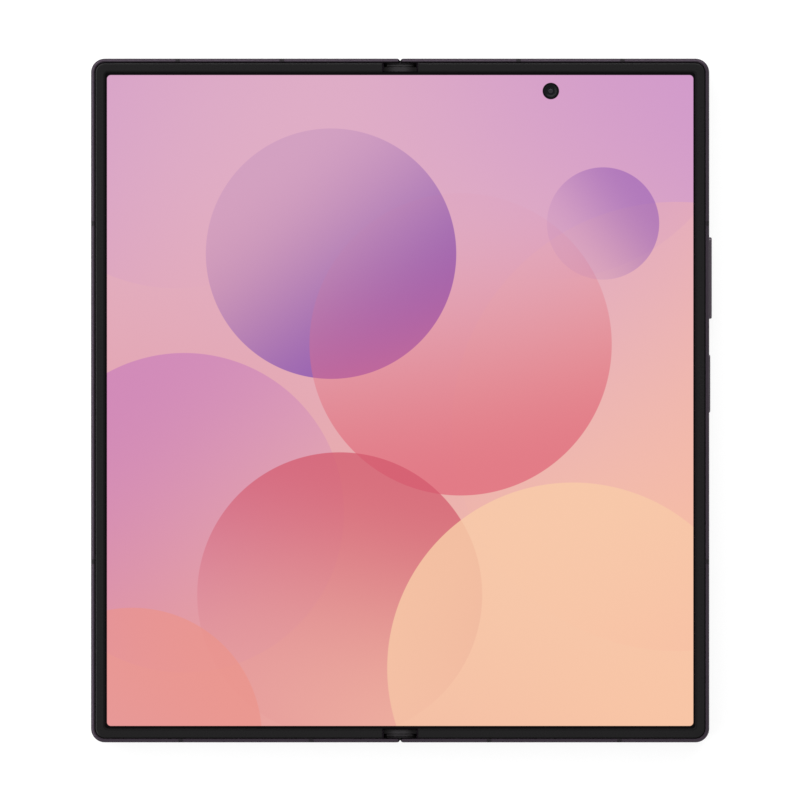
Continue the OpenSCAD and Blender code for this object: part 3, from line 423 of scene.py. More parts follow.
def place_group(tree, group, **inputs):
    """Puts a node group in a tree and feeds its inputs."""
    node = tree.nodes.new("ShaderNodeGroup")
    node.node_tree = group
    feed_node(tree, node, **inputs)
    return node.outputs


def surface_grain():
    """Fine grain: a colour that varies a little, a roughness that varies with it and a height."""
    if "surface_grain" in bpy.data.node_groups:
        return bpy.data.node_groups["surface_grain"]
    fine_share, broad_share = 0.6, 0.4
    tree, given, result = new_group(
        "surface_grain",
        [
            ("Colour", "Color"), ("Tint", "Float"), ("Roughness", "Float"), ("Spread", "Float"),
            ("Scale", "Float"),
        ],
        [("Colour", "Color"), ("Roughness", "Float"), ("Height", "Float")],
    )
    place = tree.nodes.new("ShaderNodeTexCoord").outputs["Object"]
    fine = add_node(tree, "ShaderNodeTexNoise", Vector=place, Scale=given["Scale"], Detail=2.0).outputs[0]
    broad = add_node(tree, "ShaderNodeTexNoise", Vector=place, Scale=90.0, Detail=3.0).outputs[0]
    fine_part = add_math(tree, "MULTIPLY", fine, fine_share)
    broad_part = add_math(tree, "MULTIPLY", broad, broad_share)
    centred = add_math(tree, "SUBTRACT", add_math(tree, "ADD", fine_part, broad_part), 0.5)
    factor = add_math(tree, "ADD", add_math(tree, "MULTIPLY", centred, given["Tint"]), 1.0)
    scaled = tree.nodes.new("ShaderNodeVectorMath")
    scaled.operation = "SCALE"
    feed(tree, scaled.inputs[0], given["Colour"])
    feed(tree, scaled.inputs["Scale"], factor)
    spread = add_math(tree, "MULTIPLY", centred, given["Spread"])
    feed(tree, result["Colour"], scaled.outputs[0])
    feed(tree, result["Roughness"], add_math(tree, "ADD", given["Roughness"], spread))
    feed(tree, result["Height"], fine)
    return tree


def rounded_area():
    """Mask of a rounded rectangle about the origin, with a narrow blurred edge."""
    if "rounded_area" in bpy.data.node_groups:
        return bpy.data.node_groups["rounded_area"]
    tree, given, result = new_group(
        "rounded_area",
        [("Place", "Vector"), ("Half Size", "Vector"), ("Corner", "Float"), ("Blur", "Float")],
        [("Mask", "Float")],
    )
    corner = add_node(tree, "ShaderNodeCombineXYZ", X=given["Corner"], Y=given["Corner"]).outputs[0]
    reach = add_vector_math(tree, "SUBTRACT", given["Half Size"], corner)
    past = add_vector_math(tree, "SUBTRACT", add_vector_math(tree, "ABSOLUTE", given["Place"]), reach)
    outside = add_vector_math(tree, "MAXIMUM", past, (0, 0, 0))
    distance = add_vector_math(tree, "LENGTH", outside, scalar=True)
    over = add_math(tree, "SUBTRACT", distance, given["Corner"])
    within = add_math(tree, "MULTIPLY", given["Blur"], -1.0)
    feed(tree, result["Mask"], add_range(tree, over, within, given["Blur"], 1.0, 0.0))
    return tree


def glass_disc():
    """Lays a translucent disc over a colour. It is faint on one side and strong on the other."""
    if "glass_disc" in bpy.data.node_groups:
        return bpy.data.node_groups["glass_disc"]
    tree, given, result = new_group(
        "glass_disc",
        [
            ("Under", "Color"), ("Place", "Vector"), ("Centre", "Vector"), ("Radius", "Float"),
            ("Colour", "Color"), ("Direction", "Vector"), ("Faint", "Float"), ("Strong", "Float"),
        ],
        [("Colour", "Color")],
    )
    offset = add_vector_math(tree, "SUBTRACT", given["Place"], given["Centre"])
    distance = add_vector_math(tree, "LENGTH", offset, scalar=True)
    rim = add_math(tree, "SUBTRACT", given["Radius"], distance)
    inside = add_range(tree, rim, -0.06, 0.06, 0.0, 1.0)
    along = add_vector_math(tree, "DOT_PRODUCT", offset, given["Direction"], scalar=True)
    share = add_math(tree, "DIVIDE", along, given["Radius"])
    strength = add_range(tree, share, -0.9, 0.95, given["Faint"], given["Strong"], smooth=True)
    cover = add_math(tree, "MULTIPLY", inside, strength)
    feed(tree, result["Colour"], add_mix(tree, cover, given["Under"], given["Colour"]))
    return tree


def new_material(name):
    """An empty material, its node tree and its shader."""
    material = bpy.data.materials.new(name)
    material.use_nodes = True
    tree = material.node_tree
    return material, tree, tree.nodes["Principled BSDF"]


def grained(
    name, rgba, metallic=0.0, roughness=0.5, tint=0.1, spread=0.1, scale=1500.0, depth=0.0, level=0.5,
    coat=0.0,
):
    """A solid finish with fine grain. Depth is the height of the grain in metres."""
    material, tree, shader = new_material(name)
    grain = place_group(
        tree, surface_grain(), Colour=rgba, Tint=tint, Roughness=roughness, Spread=spread, Scale=scale
    )
    feed_node(
        tree, shader, Base_Color=grain["Colour"], Roughness=grain["Roughness"], Metallic=metallic,
        Specular_IOR_Level=level, Coat_Weight=coat, Coat_Roughness=0.08,
    )
    if depth:
        bump = add_node(tree, "ShaderNodeBump", Strength=1.0, Distance=depth, Height=grain["Height"])
        feed_node(tree, shader, Normal=bump.outputs["Normal"])
    return material


def finish(slot_name):
    """The material of a slot, made on first use."""
    name = f"finish_{slot_name}"
    if name in bpy.data.materials:
        return bpy.data.materials[name]
    makers = {"screen": lit_screen, "lens_glass": lens_glass, "cap_plastic": cap_plastic}
    if slot_name in makers:
        return makers[slot_name](name)
    paint = bpy.context.scene.phone_finish
    looks = {
        "frame_metal": dict(
            rgba=paint.metal, metallic=0.9, roughness=0.4, tint=0.12, spread=0.12, scale=2600.0, depth=2e-6
        ),
        "antenna_plastic": dict(rgba=paint.breaks, roughness=0.45, tint=0.06, level=0.15),
        "soft_bezel": dict(
            rgba=paint.bezel, roughness=0.28, tint=0.08, scale=2000.0, depth=2e-6, level=0.14
        ),
        "rear_glass": dict(
            rgba=paint.rear, metallic=0.35, roughness=0.42, scale=3000.0, depth=1.5e-6, coat=0.15
        ),
        "outer_glass": dict(rgba=paint.outer_glass, roughness=0.06, tint=0.02, spread=0.02, level=0.3),
        "outer_panel": dict(rgba=colour(14, 14, 18), roughness=0.2, tint=0.05, level=0.4),
        "island_metal": dict(rgba=paint.metal, metallic=0.95, roughness=0.3, scale=2600.0, depth=1e-6),
        "black_plastic": dict(rgba=colour(18, 18, 19), roughness=0.45, level=0.35),
        "flash_lens": dict(rgba=colour(238, 226, 190), roughness=0.18, tint=0.05, coat=0.5),
        "board": dict(
            rgba=colour(24, 66, 50), roughness=0.4, tint=0.35, spread=0.2, scale=700.0, depth=1e-5
        ),
        "battery_foil": dict(
            rgba=colour(46, 46, 49), metallic=0.4, roughness=0.35, scale=500.0, depth=1e-5
        ),
        "carbon_plate": dict(
            rgba=colour(36, 37, 40), metallic=0.1, roughness=0.4, tint=0.4, scale=900.0, depth=4e-6
        ),
        "hinge_steel": dict(
            rgba=colour(150, 150, 154), metallic=1.0, roughness=0.3, scale=1800.0, depth=1e-6
        ),
        "screw_steel": dict(rgba=colour(172, 171, 168), metallic=1.0, roughness=0.25, tint=0.08),
        "shield_steel": dict(
            rgba=colour(186, 186, 188), metallic=1.0, roughness=0.32, tint=0.08, scale=900.0
        ),
        "magnet": dict(rgba=colour(160, 160, 164), metallic=1.0, roughness=0.22, tint=0.06),
        "copper": dict(rgba=colour(190, 118, 74), metallic=0.9, roughness=0.3, tint=0.15, scale=800.0),
    }
    return grained(name, **looks[slot_name])


def cap_plastic(name):
    """Plastic of the hinge caps, painted lighter over the fold line and darker at the sides, as painted shade
    where the crown falls away.
    """
    paint = bpy.context.scene.phone_finish
    # Painted shade: the colour darkens from the fold line toward the sides
    lit_within, shaded_beyond = 0.8 * MM, 3.2 * MM
    material, tree, shader = new_material(name)
    place = tree.nodes.new("ShaderNodeTexCoord").outputs["Object"]
    axes = add_node(tree, "ShaderNodeSeparateXYZ", Vector=place).outputs
    beside = add_math(tree, "ABSOLUTE", axes["X"])
    side_shade = add_range(tree, beside, lit_within, shaded_beyond, 0.0, 1.0, smooth=True)
    grain = place_group(
        tree, surface_grain(), Colour=add_mix(tree, side_shade, paint.cap, paint.cap_painted_shade),
        Tint=0.08, Roughness=0.42, Spread=0.1, Scale=1800.0,
    )
    feed_node(
        tree, shader, Base_Color=grain["Colour"], Roughness=grain["Roughness"], Specular_IOR_Level=0.08
    )
    return material


def lens_glass(name):
    """Clear coated glass of a rear lens."""
    material, tree, shader = new_material(name)
    feed_node(
        tree, shader, Base_Color=colour(214, 220, 232), Roughness=0.02, Metallic=0.0,
        Transmission_Weight=1.0, IOR=1.5,
    )
    return material


def inner_black():
    """Satin black round the inner camera and the outer one."""
    return grained("inner_window_black", colour(15, 18, 20), roughness=0.3, tint=0.05, level=0.08)


def coated_lens():
    """Dark lens with a painted violet sheen toward its edge, in place of the reflection of its coating."""
    if "coated_lens" in bpy.data.materials:
        return bpy.data.materials["coated_lens"]
    material, tree, shader = new_material("coated_lens")
    # Painted sheen: the colour turns lighter violet where the lens is seen edge-on
    painted_sheen_share = add_node(tree, "ShaderNodeLayerWeight", Blend=0.35).outputs["Facing"]
    tint = add_mix(tree, painted_sheen_share, colour(10, 11, 20), colour(40, 32, 70))
    feed_node(
        tree, shader, Base_Color=tint, Roughness=0.05, Specular_IOR_Level=0.3, Coat_Weight=0.1,
        Coat_Roughness=0.03,
    )
    return material


# The picture's translucent discs, back to front, in millimetres from the middle of the screen:
# place, radius, colour, the way in which the disc grows strong, in degrees, and its two strengths
PICTURE_DISCS = (
    (-52, 66, 40, (208, 148, 208), 150, 0.0, 0.5),
    (34, 74, 46, (204, 144, 208), 40, 0.0, 0.5),
    (64, -6, 52, (252, 190, 165), -20, 0.1, 0.9),
    (-16, 34, 29, (148, 92, 180), -52, 0.2, 0.95),
    (14, 13, 35, (229, 112, 128), -78, 0.04, 0.86),
    (-50, -26, 37, (206, 128, 190), 128, 0.08, 0.72),
    (-14, -45, 33, (216, 92, 112), 72, 0.06, 0.82),
    (40, -62, 43, (254, 208, 172), 118, 0.12, 0.8),
    (-62, -78, 30, (240, 150, 140), 40, 0.1, 0.7),
    (47, 41, 13, (160, 100, 186), 35, 0.12, 0.7),
)


def lit_screen(name):
    """Lit picture of a colour blend and translucent discs, with a black edge and camera disc."""
    screen = bpy.context.scene.phone_screen
    # Half the width of the blur at the picture's edges, in millimetres
    blur = 0.05
    black = (0, 0, 0, 1)
    half_w = (PANEL_HIGH.x - screen.side_border) / MM
    half_h = (PANEL_HIGH.y - screen.end_border) / MM
    ring = screen.camera_ring / MM
    material, tree, shader = new_material(name)
    mark = tree.nodes.new("ShaderNodeAttribute")
    mark.attribute_name = "sheet_place"
    place = mark.outputs["Vector"]
    axes = add_node(tree, "ShaderNodeSeparateXYZ", Vector=place).outputs
    across = add_range(tree, axes["X"], -half_w, half_w, 0.0, 1.0, smooth=True)
    up = add_range(tree, axes["Y"], -half_h, half_h, 0.0, 1.0, smooth=True)
    upper = add_mix(tree, across, screen.upper_left, screen.upper_right)
    lower = add_mix(tree, across, screen.lower_left, screen.lower_right)
    picture = add_mix(tree, up, lower, upper)
    for x, y, radius, rgb, turn, faint, strong in PICTURE_DISCS:
        direction = (math.cos(math.radians(turn)), math.sin(math.radians(turn)), 0)
        picture = place_group(
            tree, glass_disc(), Under=picture, Place=place, Centre=(x, y, 0), Radius=radius,
            Colour=colour(*rgb), Direction=direction, Faint=faint, Strong=strong,
        )["Colour"]
    lit = place_group(
        tree, rounded_area(), Place=place, Half_Size=(half_w, half_h, 1),
        Corner=screen.lit_corner / MM, Blur=blur,
    )["Mask"]
    centre = (WINDOW_X / MM, WINDOW_Y / MM, 0)
    from_camera = add_vector_math(tree, "DISTANCE", place, centre, scalar=True)
    clear = add_range(tree, from_camera, ring - blur, ring + blur, 0.0, 1.0)
    shown = add_mix(tree, add_math(tree, "MULTIPLY", lit, clear), black, picture)
    feed_node(
        tree, shader, Emission_Color=shown, Emission_Strength=screen.glow, Base_Color=colour(4, 2, 4),
        Roughness=0.16, Specular_IOR_Level=0.05,
    )
    return material


# ---- Pieces ----


def mark_place(piece):
    """Keeps each point's place on the flat screen, in millimetres, for the picture."""
    mark = piece.data.attributes.new("sheet_place", "FLOAT_VECTOR", "POINT")
    for point, value in zip(piece.data.vertices, mark.data):
        value.vector = (point.co.x / MM, point.co.y / MM, 0)


class PHONE_OT_screen(bpy.types.Operator):
    """Builds the lit sheet: two flat stretches on the halves and two that lie over the fold between them"""

    bl_idname = "phone.make_screen"
    bl_label = "Screen"

    def execute(self, context):
        steps = context.scene.phone_shape.fold_steps
        x_out, y_out = PANEL_HIGH.x, PANEL_HIGH.y
        fold_x = PANEL_LOW.x
        low, high = PANEL_LOW.z, PANEL_HIGH.z
        edge = 0.03 * MM
        window_gap = 0.02 * MM
        hole = (WINDOW_HIGH.x - WINDOW_LOW.x) / 2 + window_gap
        levels = [(edge, low), (0, low + edge), (0, high - edge), (edge, high)]
        for name, side in SIDES:

            def outlines(inset):
                plan = [half_outline(side, fold_x, x_out - inset, y_out - inset, PANEL_CORNER - inset)]
                if side > 0:
                    plan.append(circle(WINDOW_X, WINDOW_Y, hole + inset))
                return plan

            bm = bmesh.new()
            stack(bm, outlines, levels)
            piece = make_piece(f"screen_flat_{name}", bm, "screen", f"{name}_half", [f"display_{name}"])
            mark_place(piece)

            bm = bmesh.new()
            xs = [side * fold_x * step / steps for step in range(steps + 1)]
            lines = [[(x, inset - y_out, z) for x in xs] for inset, z in levels]
            lines += [[(x, y_out - inset, z) for x in xs] for inset, z in reversed(levels)]
            band(bm, lines)
            piece = make_piece(f"screen_fold_{name}", bm, "screen", None, ["display_fold"])
            mark_place(piece)
            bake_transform(piece)
        return {"FINISHED"}


class PHONE_OT_bezels(bpy.types.Operator):
    """Builds the soft bezel of each half, with a rounded outer edge, and its lip over the panel, which is
    painted darker as shade of the gap at the screen
    """

    bl_idname = "phone.make_bezels"
    bl_label = "Bezels"

    def execute(self, context):
        shape = context.scene.phone_shape
        # The lip reaches over the panel's edge and keeps clear of it
        reach, clearance = 0.2 * MM, 0.05 * MM
        panel_edge = HALF_W - PANEL_HIGH.x
        outer = HALF_W - BEZEL_HIGH.x
        lip = panel_edge + reach
        under = panel_edge - clearance
        low, top = BEZEL_LOW.z, BEZEL_HIGH.z
        lip_low = PANEL_HIGH.z + clearance
        crest = lip - shape.lip_slope
        bar = [(outer, low)]
        bar += arc(outer + shape.bezel_round, top - shape.bezel_round, shape.bezel_round, 180, 90, 5)
        bar += [(crest, top), (crest, low)]
        slope = [
            (lip - shape.lip_slope * (1 - math.sin(t)), top - shape.lip_fall * (1 - math.cos(t)))
            for t in arc_turns(0, 90, 6)
        ]
        slope += [(lip, lip_low), (under, lip_low), (under, low), (crest, low)]
        # The lip is painted darker than the bezel, as painted shade of the gap at the screen's edge
        matt = grained("matt_lip", context.scene.phone_finish.lip, roughness=0.6, tint=0.05, level=0.1)
        for name, side in SIDES:
            for kind, section, material in (("bezel", bar, None), ("lip", slope, matt)):
                lines = []
                for inset, z in section:
                    share = (inset - outer) / (lip - outer)
                    radius = RIM_CORNER + (LIP_CORNER - RIM_CORNER) * share
                    outline = half_outline(side, BEZEL_LOW.x, HALF_W - inset, HALF_H - inset, radius)
                    lines.append([(x, y, z) for x, y in outline])
                bm = bmesh.new()
                band(bm, lines)
                stands_for = [f"{name}_bezel"]
                make_piece(f"{kind}_{name}", bm, "soft_bezel", f"{name}_half", stands_for, material, 50)
        return {"FINISHED"}


class PHONE_OT_frames(bpy.types.Operator):
    """Finishes the frames and antenna breaks, and adds the meshes of the sound slots and the seals"""

    bl_idname = "phone.finish_frames"
    bl_label = "Frames"

    def execute(self, context):
        dress("right_frame", "left_frame", "right_antenna_breaks", "left_antenna_breaks")
        rim = HALF_W - BEZEL_HIGH.x
        thick = 0.12 * MM
        gap = 0.02 * MM
        mesh_length, mesh_height = 14.2 * MM, 1.5 * MM
        mesh_z = 3.475 * MM
        wall = HALF_H - rim - gap
        # The slots lie in the lower edge of the right half and the upper edge of the left one
        rows = (("right_half", 58.8 * MM, -wall), ("left_half", -36.0 * MM, wall - thick))
        for body, x, y in rows:
            bm = bmesh.new()
            stack(
                bm,
                lambda inset: [stadium(x, mesh_z, mesh_length - 2 * inset, mesh_height - 2 * inset)],
                edge_steps(y, y + thick, FINE_EDGE, 1),
                lengthways,
            )
            make_piece(f"sound_mesh_{body}", bm, "black_plastic", body)
        self.make_seals()
        return {"FINISHED"}

    def make_seals(self):
        """Seals on the left rim's ends that close the gap between the two rims, each with a foot."""
        # How far in from the phone's ends a seal starts and stops
        start_in, stop_in = 0.35 * MM, 0.9 * MM
        # The seal's sides lie this far left and right of the fold line, and the foot's this far each way
        left, right, foot = 0.052 * MM, 0.015 * MM, 0.1 * MM
        seal_low, foot_low, foot_high = REAR_Z + 0.05 * MM, REAR_Z + 0.01 * MM, REAR_Z + 0.08 * MM
        seal_round = 0.01 * MM
        bm = bmesh.new()
        for end in (-1, 1):
            near, far = sorted((end * (HALF_H - stop_in), end * (HALF_H - start_in)))
            block(bm, (-left, near, seal_low), (right, far, AXIS_Z), seal_round)
            block(bm, (-foot, near, foot_low), (foot, far, foot_high), FINE_EDGE)
        make_piece("rim_seals", bm, "black_plastic", "left_half")


class PHONE_OT_hinge(bpy.types.Operator):
    """Builds the caps at the ends of the fold line and finishes the spine and the works inside it"""

    bl_idname = "phone.make_hinge"
    bl_label = "Hinge"

    def execute(self, context):
        self.make_caps()
        self.make_cables()
        dress("hinge_spine", "hinge_bases", "base_screws", "gear_shafts", "friction_washers")
        dress("centre_plate", "right_wing", "left_wing", "right_idlers", "left_idlers")
        for name, _ in SIDES:
            dress(f"{name}_sync_arms", f"{name}_rails", f"{name}_arm_guides", f"{name}_bracket_screws")
            dress(f"{name}_support_plate")
        return {"FINISHED"}

    def make_caps(self):
        """Caps with a crown over the fold line, low shoulders beside it and a narrow ridge at the rim."""
        low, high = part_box("hinge_end_caps")
        radius = AXIS_Z - low.z
        clearance = 0.05 * MM
        crest = high.z - clearance
        half_width = high.x
        # The crown's fall toward the sides, in millimetres, and the share of the width where the
        # shoulders start
        crown_fall = 0.1
        shoulder_from = 0.3
        top_steps = 36

        def outline(shape):
            drop, width, shoulder = shape
            right = arc(AXIS_X, AXIS_Z, radius, -90, -16, 10)
            top = []
            for step in range(top_steps + 1):
                share = 1 - 2 * step / top_steps
                past = min(max((abs(share) - shoulder_from) / (1 - shoulder_from), 0), 1)
                fall = crown_fall * share * share + (shoulder - drop) * past * past * (3 - 2 * past)
                top.append((half_width * width * share, crest - (drop + fall) * MM))
            return [right + top + [(-x, z) for x, z in reversed(right)]]

        # Each row is a place inward from the rim, a drop of the crown, a share of the width and a drop
        # of the shoulders. The ridge is narrow, and the cap is wide beyond it
        narrow, wide = 0.74, 1.0
        rows = (
            (0.05, 0.6, 0.72, 0.6), (0.46, 0.56, narrow, 0.56), (0.54, 0.04, narrow, 0.04),
            (0.62, 0.0, narrow, 0.0), (0.84, 0.0, narrow, 0.0), (0.92, 0.16, narrow, 0.16),
            (1.06, 0.16, wide, 0.3), (1.14, 0.0, wide, 0.14), (2.09, 0.0, wide, 0.14),
            (2.12, 0.06, wide, 0.2), (2.14, 0.7, wide, 0.8),
        )
        bm = bmesh.new()
        for end in (-1, 1):
            levels = [(shape, end * (high.y - inward * MM)) for inward, *shape in rows]
            stack(bm, outline, levels, lengthways)
        make_piece("hinge_caps", bm, "cap_plastic", "spine", ["hinge_end_caps"], sharp=50)

    def make_cables(self):
        """Thin cables that bend between the spine and each half."""
        low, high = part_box("flex_cables")
        thick = 0.1 * MM
        width = 12 * MM
        # Where a cable leaves the spine's floor, bends up and meets the half
        leaves, bends, meets = 0.9 * MM, 2.2 * MM, 3.5 * MM
        under = high.z - thick
        for name, side in SIDES:
            turns = [(0, low.z), (leaves, low.z), (bends, under - 2 * thick), (meets, under), (high.x, under)]
            route = []
            for (x0, z0), (x1, z1) in zip(turns, turns[1:]):
                steps = 8 if x1 == high.x else 12
                for i in range(steps):
                    share = i / steps
                    route.append((side * (x0 + (x1 - x0) * share), z0 + (z1 - z0) * share))
            route.append((side * high.x, under))

            def outline(inset):
                upper = [(x, z + thick - inset) for x, z in reversed(route)]
                return [[(x, z + inset) for x, z in route] + upper]

            bm = bmesh.new()
            for place in (-1, 1):
                y = place * (high.y - width / 2)
                levels = edge_steps(y - width / 2, y + width / 2, FINE_EDGE, 1)
                stack(bm, outline, levels, lengthways)
            piece = make_piece(f"cable_{name}", bm, SLOTS["flex_cables"], None, ["flex_cables"])
            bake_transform(piece)


class PHONE_OT_keys(bpy.types.Operator):
    """Builds the volume and power keys with rounded faces and flanges, and round each a dark ring of painted
    shade where the key meets the rim
    """

    bl_idname = "phone.make_keys"
    bl_label = "Keys"

    def execute(self, context):
        # The key's shank starts this far into its flange
        shank_in = 0.1 * MM
        flange_t, flange_round = 0.45 * MM, 0.05 * MM
        flange_reach = 0.7 * MM
        pin_r = 0.4 * MM
        # How much larger than the key the dark ring of painted shade round it is, outside and inside
        shade_ring_out, shade_ring_in = 0.5 * MM, 0.14 * MM
        # The ring starts under the rim's face and stands this far out of it
        shade_ring_under, shade_ring_side, shade_ring_top = 0.02 * MM, 0.05 * MM, 0.07 * MM
        shade_ring_levels = [
            (0, HALF_W - shade_ring_under), (0, HALF_W + shade_ring_side), (shade_ring_top - shade_ring_side, HALF_W + shade_ring_top)
        ]
        rounding = context.scene.phone_shape.key_round
        paint = context.scene.phone_finish
        metal = grained("key_metal", paint.key, metallic=0.9, roughness=0.35, scale=2600.0, depth=1e-6)
        # Only the rocking key has a pin, which reaches further in than the flanges
        flange_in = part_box("power_key")[0].x
        for name in ("volume", "power"):
            low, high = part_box(f"{name}_key")
            _, y, z = middle(low, high)
            width = high.z - low.z
            length = high.y - low.y - 2 * flange_reach

            def face(inset):
                return [stadium(y, z, length - 2 * inset, width - 2 * inset)]

            def ring(inset):
                return [
                    stadium(y, z, length + shade_ring_out - 2 * inset, width + shade_ring_out - 2 * inset),
                    stadium(y, z, length + shade_ring_in + 2 * inset, width + shade_ring_in + 2 * inset),
                ]

            bm = bmesh.new()
            stack(bm, face, edge_steps(flange_in + shank_in, high.x, rounding, 5, both=False), sideways)
            block(bm, (flange_in, low.y, low.z), (flange_in + flange_t, high.y, high.z), flange_round)
            if name == "volume":
                pin = [(0, low.z), (pin_r, low.z), (pin_r, high.z), (0, high.z)]
                turned(bm, low.x + pin_r, y, pin, 24)
            make_piece(f"{name}_cap", bm, "frame_metal", name, [f"{name}_key"], metal)

            # Dark ring round the key, painted shade of the gap between the key and the rim
            bm = bmesh.new()
            stack(bm, ring, shade_ring_levels, sideways)
            make_piece(f"{name}_seal", bm, "soft_bezel", "right_half")
        return {"FINISHED"}


class PHONE_OT_inner_camera(bpy.types.Operator):
    """Builds the window of the inner camera with the ring and the small lens behind it"""

    bl_idname = "phone.make_inner_camera"
    bl_label = "Inner Camera"

    def execute(self, context):
        dress("inner_camera")
        radius = (WINDOW_HIGH.x - WINDOW_LOW.x) / 2
        low, top = WINDOW_LOW.z, PANEL_HIGH.z
        edge = 0.03 * MM
        # How far in from the window's edge its flat border ends, and then how deep its wall starts
        border, wall_in, wall_top = 0.3 * MM, 0.36 * MM, 0.04 * MM
        funnel = [(0, low), (radius, low), (radius, top - edge), (radius - edge, top)]
        funnel += [(radius - border, top), (radius - wall_in, top - wall_top)]
        # Radii and depths of the ring round the lens and of the lens's seat, in millimetres
        ring = ((0.85, 0.16), (0.8, 0.13), (0.62, 0.13), (0.58, 0.2), (0, 0.2))
        funnel += [(across * MM, top - depth * MM) for across, depth in ring]
        bm = bmesh.new()
        turned(bm, WINDOW_X, WINDOW_Y, funnel)
        stands_for = ["inner_camera_window"]
        make_piece("inner_window", bm, "black_plastic", "right_half", stands_for, inner_black(), 30)

        lens_r, lens_h, lens_under = 0.56 * MM, 0.12 * MM, 0.01 * MM
        seat = top - 0.2 * MM
        bm = bmesh.new()
        turned(bm, WINDOW_X, WINDOW_Y, dome(lens_r, seat, lens_h, lens_under, 75, 5), 32)
        make_piece("inner_lens", bm, "black_plastic", "right_half", (), coated_lens(), 60)
        return {"FINISHED"}


class PHONE_OT_rear(bpy.types.Operator):
    """Builds the rear cover and the outer glass with rounded edges, and the outer camera's dot"""

    bl_idname = "phone.make_rear"
    bl_label = "Rear Glasses"

    def execute(self, context):
        rounding = context.scene.phone_shape.glass_round
        low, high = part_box("rear_cover")
        levels = [
            (rounding * (1 - math.sin(t)), low.z + rounding * (1 - math.cos(t))) for t in arc_turns(0, 90, 4)
        ]
        levels.append((0, high.z))
        island_low, island_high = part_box("camera_island")
        island_x, island_y, _ = middle(island_low, island_high)
        gap = 0.05 * MM
        length = island_high.y - island_low.y + 2 * gap
        width = island_high.x - island_low.x + 2 * gap
        # The earpiece's slot in the outer glass
        slot_x, slot_y, slot_length, slot_width = -36 * MM, 77.4 * MM, 10 * MM, 0.5 * MM

        def island_hole(inset):
            return turned_over(stadium(island_y, island_x, length + 2 * inset, width + 2 * inset, 20))

        def earpiece_slot(inset):
            return stadium(slot_x, slot_y, slot_length + 2 * inset, slot_width + 2 * inset)

        # The two glasses have the same outline, mirrored
        sheets = (
            ("rear_cover_glass", "rear_glass", "right_half", 1, island_hole, "rear_cover"),
            ("outer_screen_glass", "outer_glass", "left_half", -1, earpiece_slot, "outer_glass"),
        )
        for name, slot_name, body, side, hole, node in sheets:

            def outlines(inset):
                x_in, x_out, y_out = low.x + inset, high.x - inset, high.y - inset
                return [half_outline(side, x_in, x_out, y_out, RIM_CORNER - inset), hole(inset)]

            bm = bmesh.new()
            stack(bm, outlines, levels)
            make_piece(name, bm, slot_name, body, [node])
        dress("outer_display", "outer_camera", "earpiece")

        x, y, _ = middle(*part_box("outer_camera"))
        # Radii and heights of the dot over the outer camera, in millimetres, from just under the glass
        dot = ((0, 0.01), (0.7, 0.01), (0.8, 0), (1.85, 0), (1.9, 0.02), (1.9, 0.1), (0, 0.1))
        base = low.z - 0.02 * MM
        bm = bmesh.new()
        turned(bm, x, y, [(across * MM, base + height * MM) for across, height in dot])
        make_piece("outer_camera_dot", bm, "black_plastic", "left_half", (), inner_black())
        return {"FINISHED"}


class PHONE_OT_rear_cameras(bpy.types.Operator):
    """Builds the stepped barrels and lenses behind the rear lens glasses, and the ridged flash"""

    bl_idname = "phone.make_rear_cameras"
    bl_label = "Rear Cameras"

    def execute(self, context):
        dress("camera_island", "lens_rings", "lens_glasses")
        low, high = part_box("camera_modules")
        glass_low, glass_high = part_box("lens_glasses")
        x, row_y, _ = middle(glass_low, glass_high)
        pitch = (glass_high.y - glass_low.y - (glass_high.x - glass_low.x)) / 2
        half = (high.x - low.x) / 2
        front, back = low.z, high.z - 0.2 * MM
        barrel, back_in, front_edge = 4.6 * MM, 0.2 * MM, 0.08 * MM
        # The steps that lead down from the barrel's rim to the lens
        rim, steps, step_w, step_h, slope = 0.5 * MM, 4, 0.45 * MM, 0.16 * MM, 0.05 * MM
        lens_h, lens_under = -0.55 * MM, -0.02 * MM
        block_low, block_round, shoulder = REAR_Z + 0.37 * MM, 0.4 * MM, 0.3 * MM
        modules = bmesh.new()
        lenses = bmesh.new()
        for place in (-1, 0, 1):
            y = row_y + place * pitch
            profile = [(0, back), (barrel - back_in, back), (barrel, block_low + shoulder)]
            profile += [(barrel, front + front_edge), (barrel - front_edge, front)]
            radius, z = barrel - rim, front
            for _ in range(steps):
                profile += [(radius, z), (radius - slope, z + step_h)]
                radius, z = radius - step_w, z + step_h
            profile += [(radius, z), (0, z)]
            turned(modules, x, y, profile, 56)
            block(modules, (x - half, y - half, block_low), (x + half, y + half, high.z), block_round)
            turned(lenses, x, y, dome(radius, z, lens_h, lens_under, 82, 9), 48)
        make_piece("camera_barrels", modules, "black_plastic", "right_half", ["camera_modules"], sharp=30)
        make_piece("camera_lenses", lenses, "black_plastic", "right_half", (), coated_lens(), 60)

        low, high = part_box("flash_window")
        x, y, _ = middle(low, high)
        radius = (high.x - low.x) / 2
        ridges = 5
        ridge_w, ridge_h, ridge_from = radius / (ridges + 1), 0.06 * MM, 0.15
        profile = [(0, low.z + ridge_h)]
        for ridge in range(ridges):
            profile += [(ridge_w * (ridge + ridge_from), low.z + ridge_h), (ridge_w * (ridge + 1), low.z)]
        profile += [(radius - ridge_h, low.z), (radius, low.z + ridge_h), (radius, high.z), (0, high.z)]
        bm = bmesh.new()
        turned(bm, x, y, profile, 40)
        make_piece("flash_face", bm, "flash_lens", "right_half", ["flash_window"], sharp=25)
        return {"FINISHED"}


class PHONE_OT_inner_parts(bpy.types.Operator):
    """Finishes the boards, batteries, port, tray and the other parts inside the halves"""

    bl_idname = "phone.finish_inner_parts"
    bl_label = "Inner Parts"

    def execute(self, context):
        dress("main_board", "board_shield", "sub_board", "right_battery", "left_battery", "charging_coil")
        dress("usb_port", "loudspeaker", "vibration_motor", "key_switches", "right_magnets", "left_magnets")
        dress("sim_tray", "sim_reader")
        return {"FINISHED"}


# ---- Stage ----


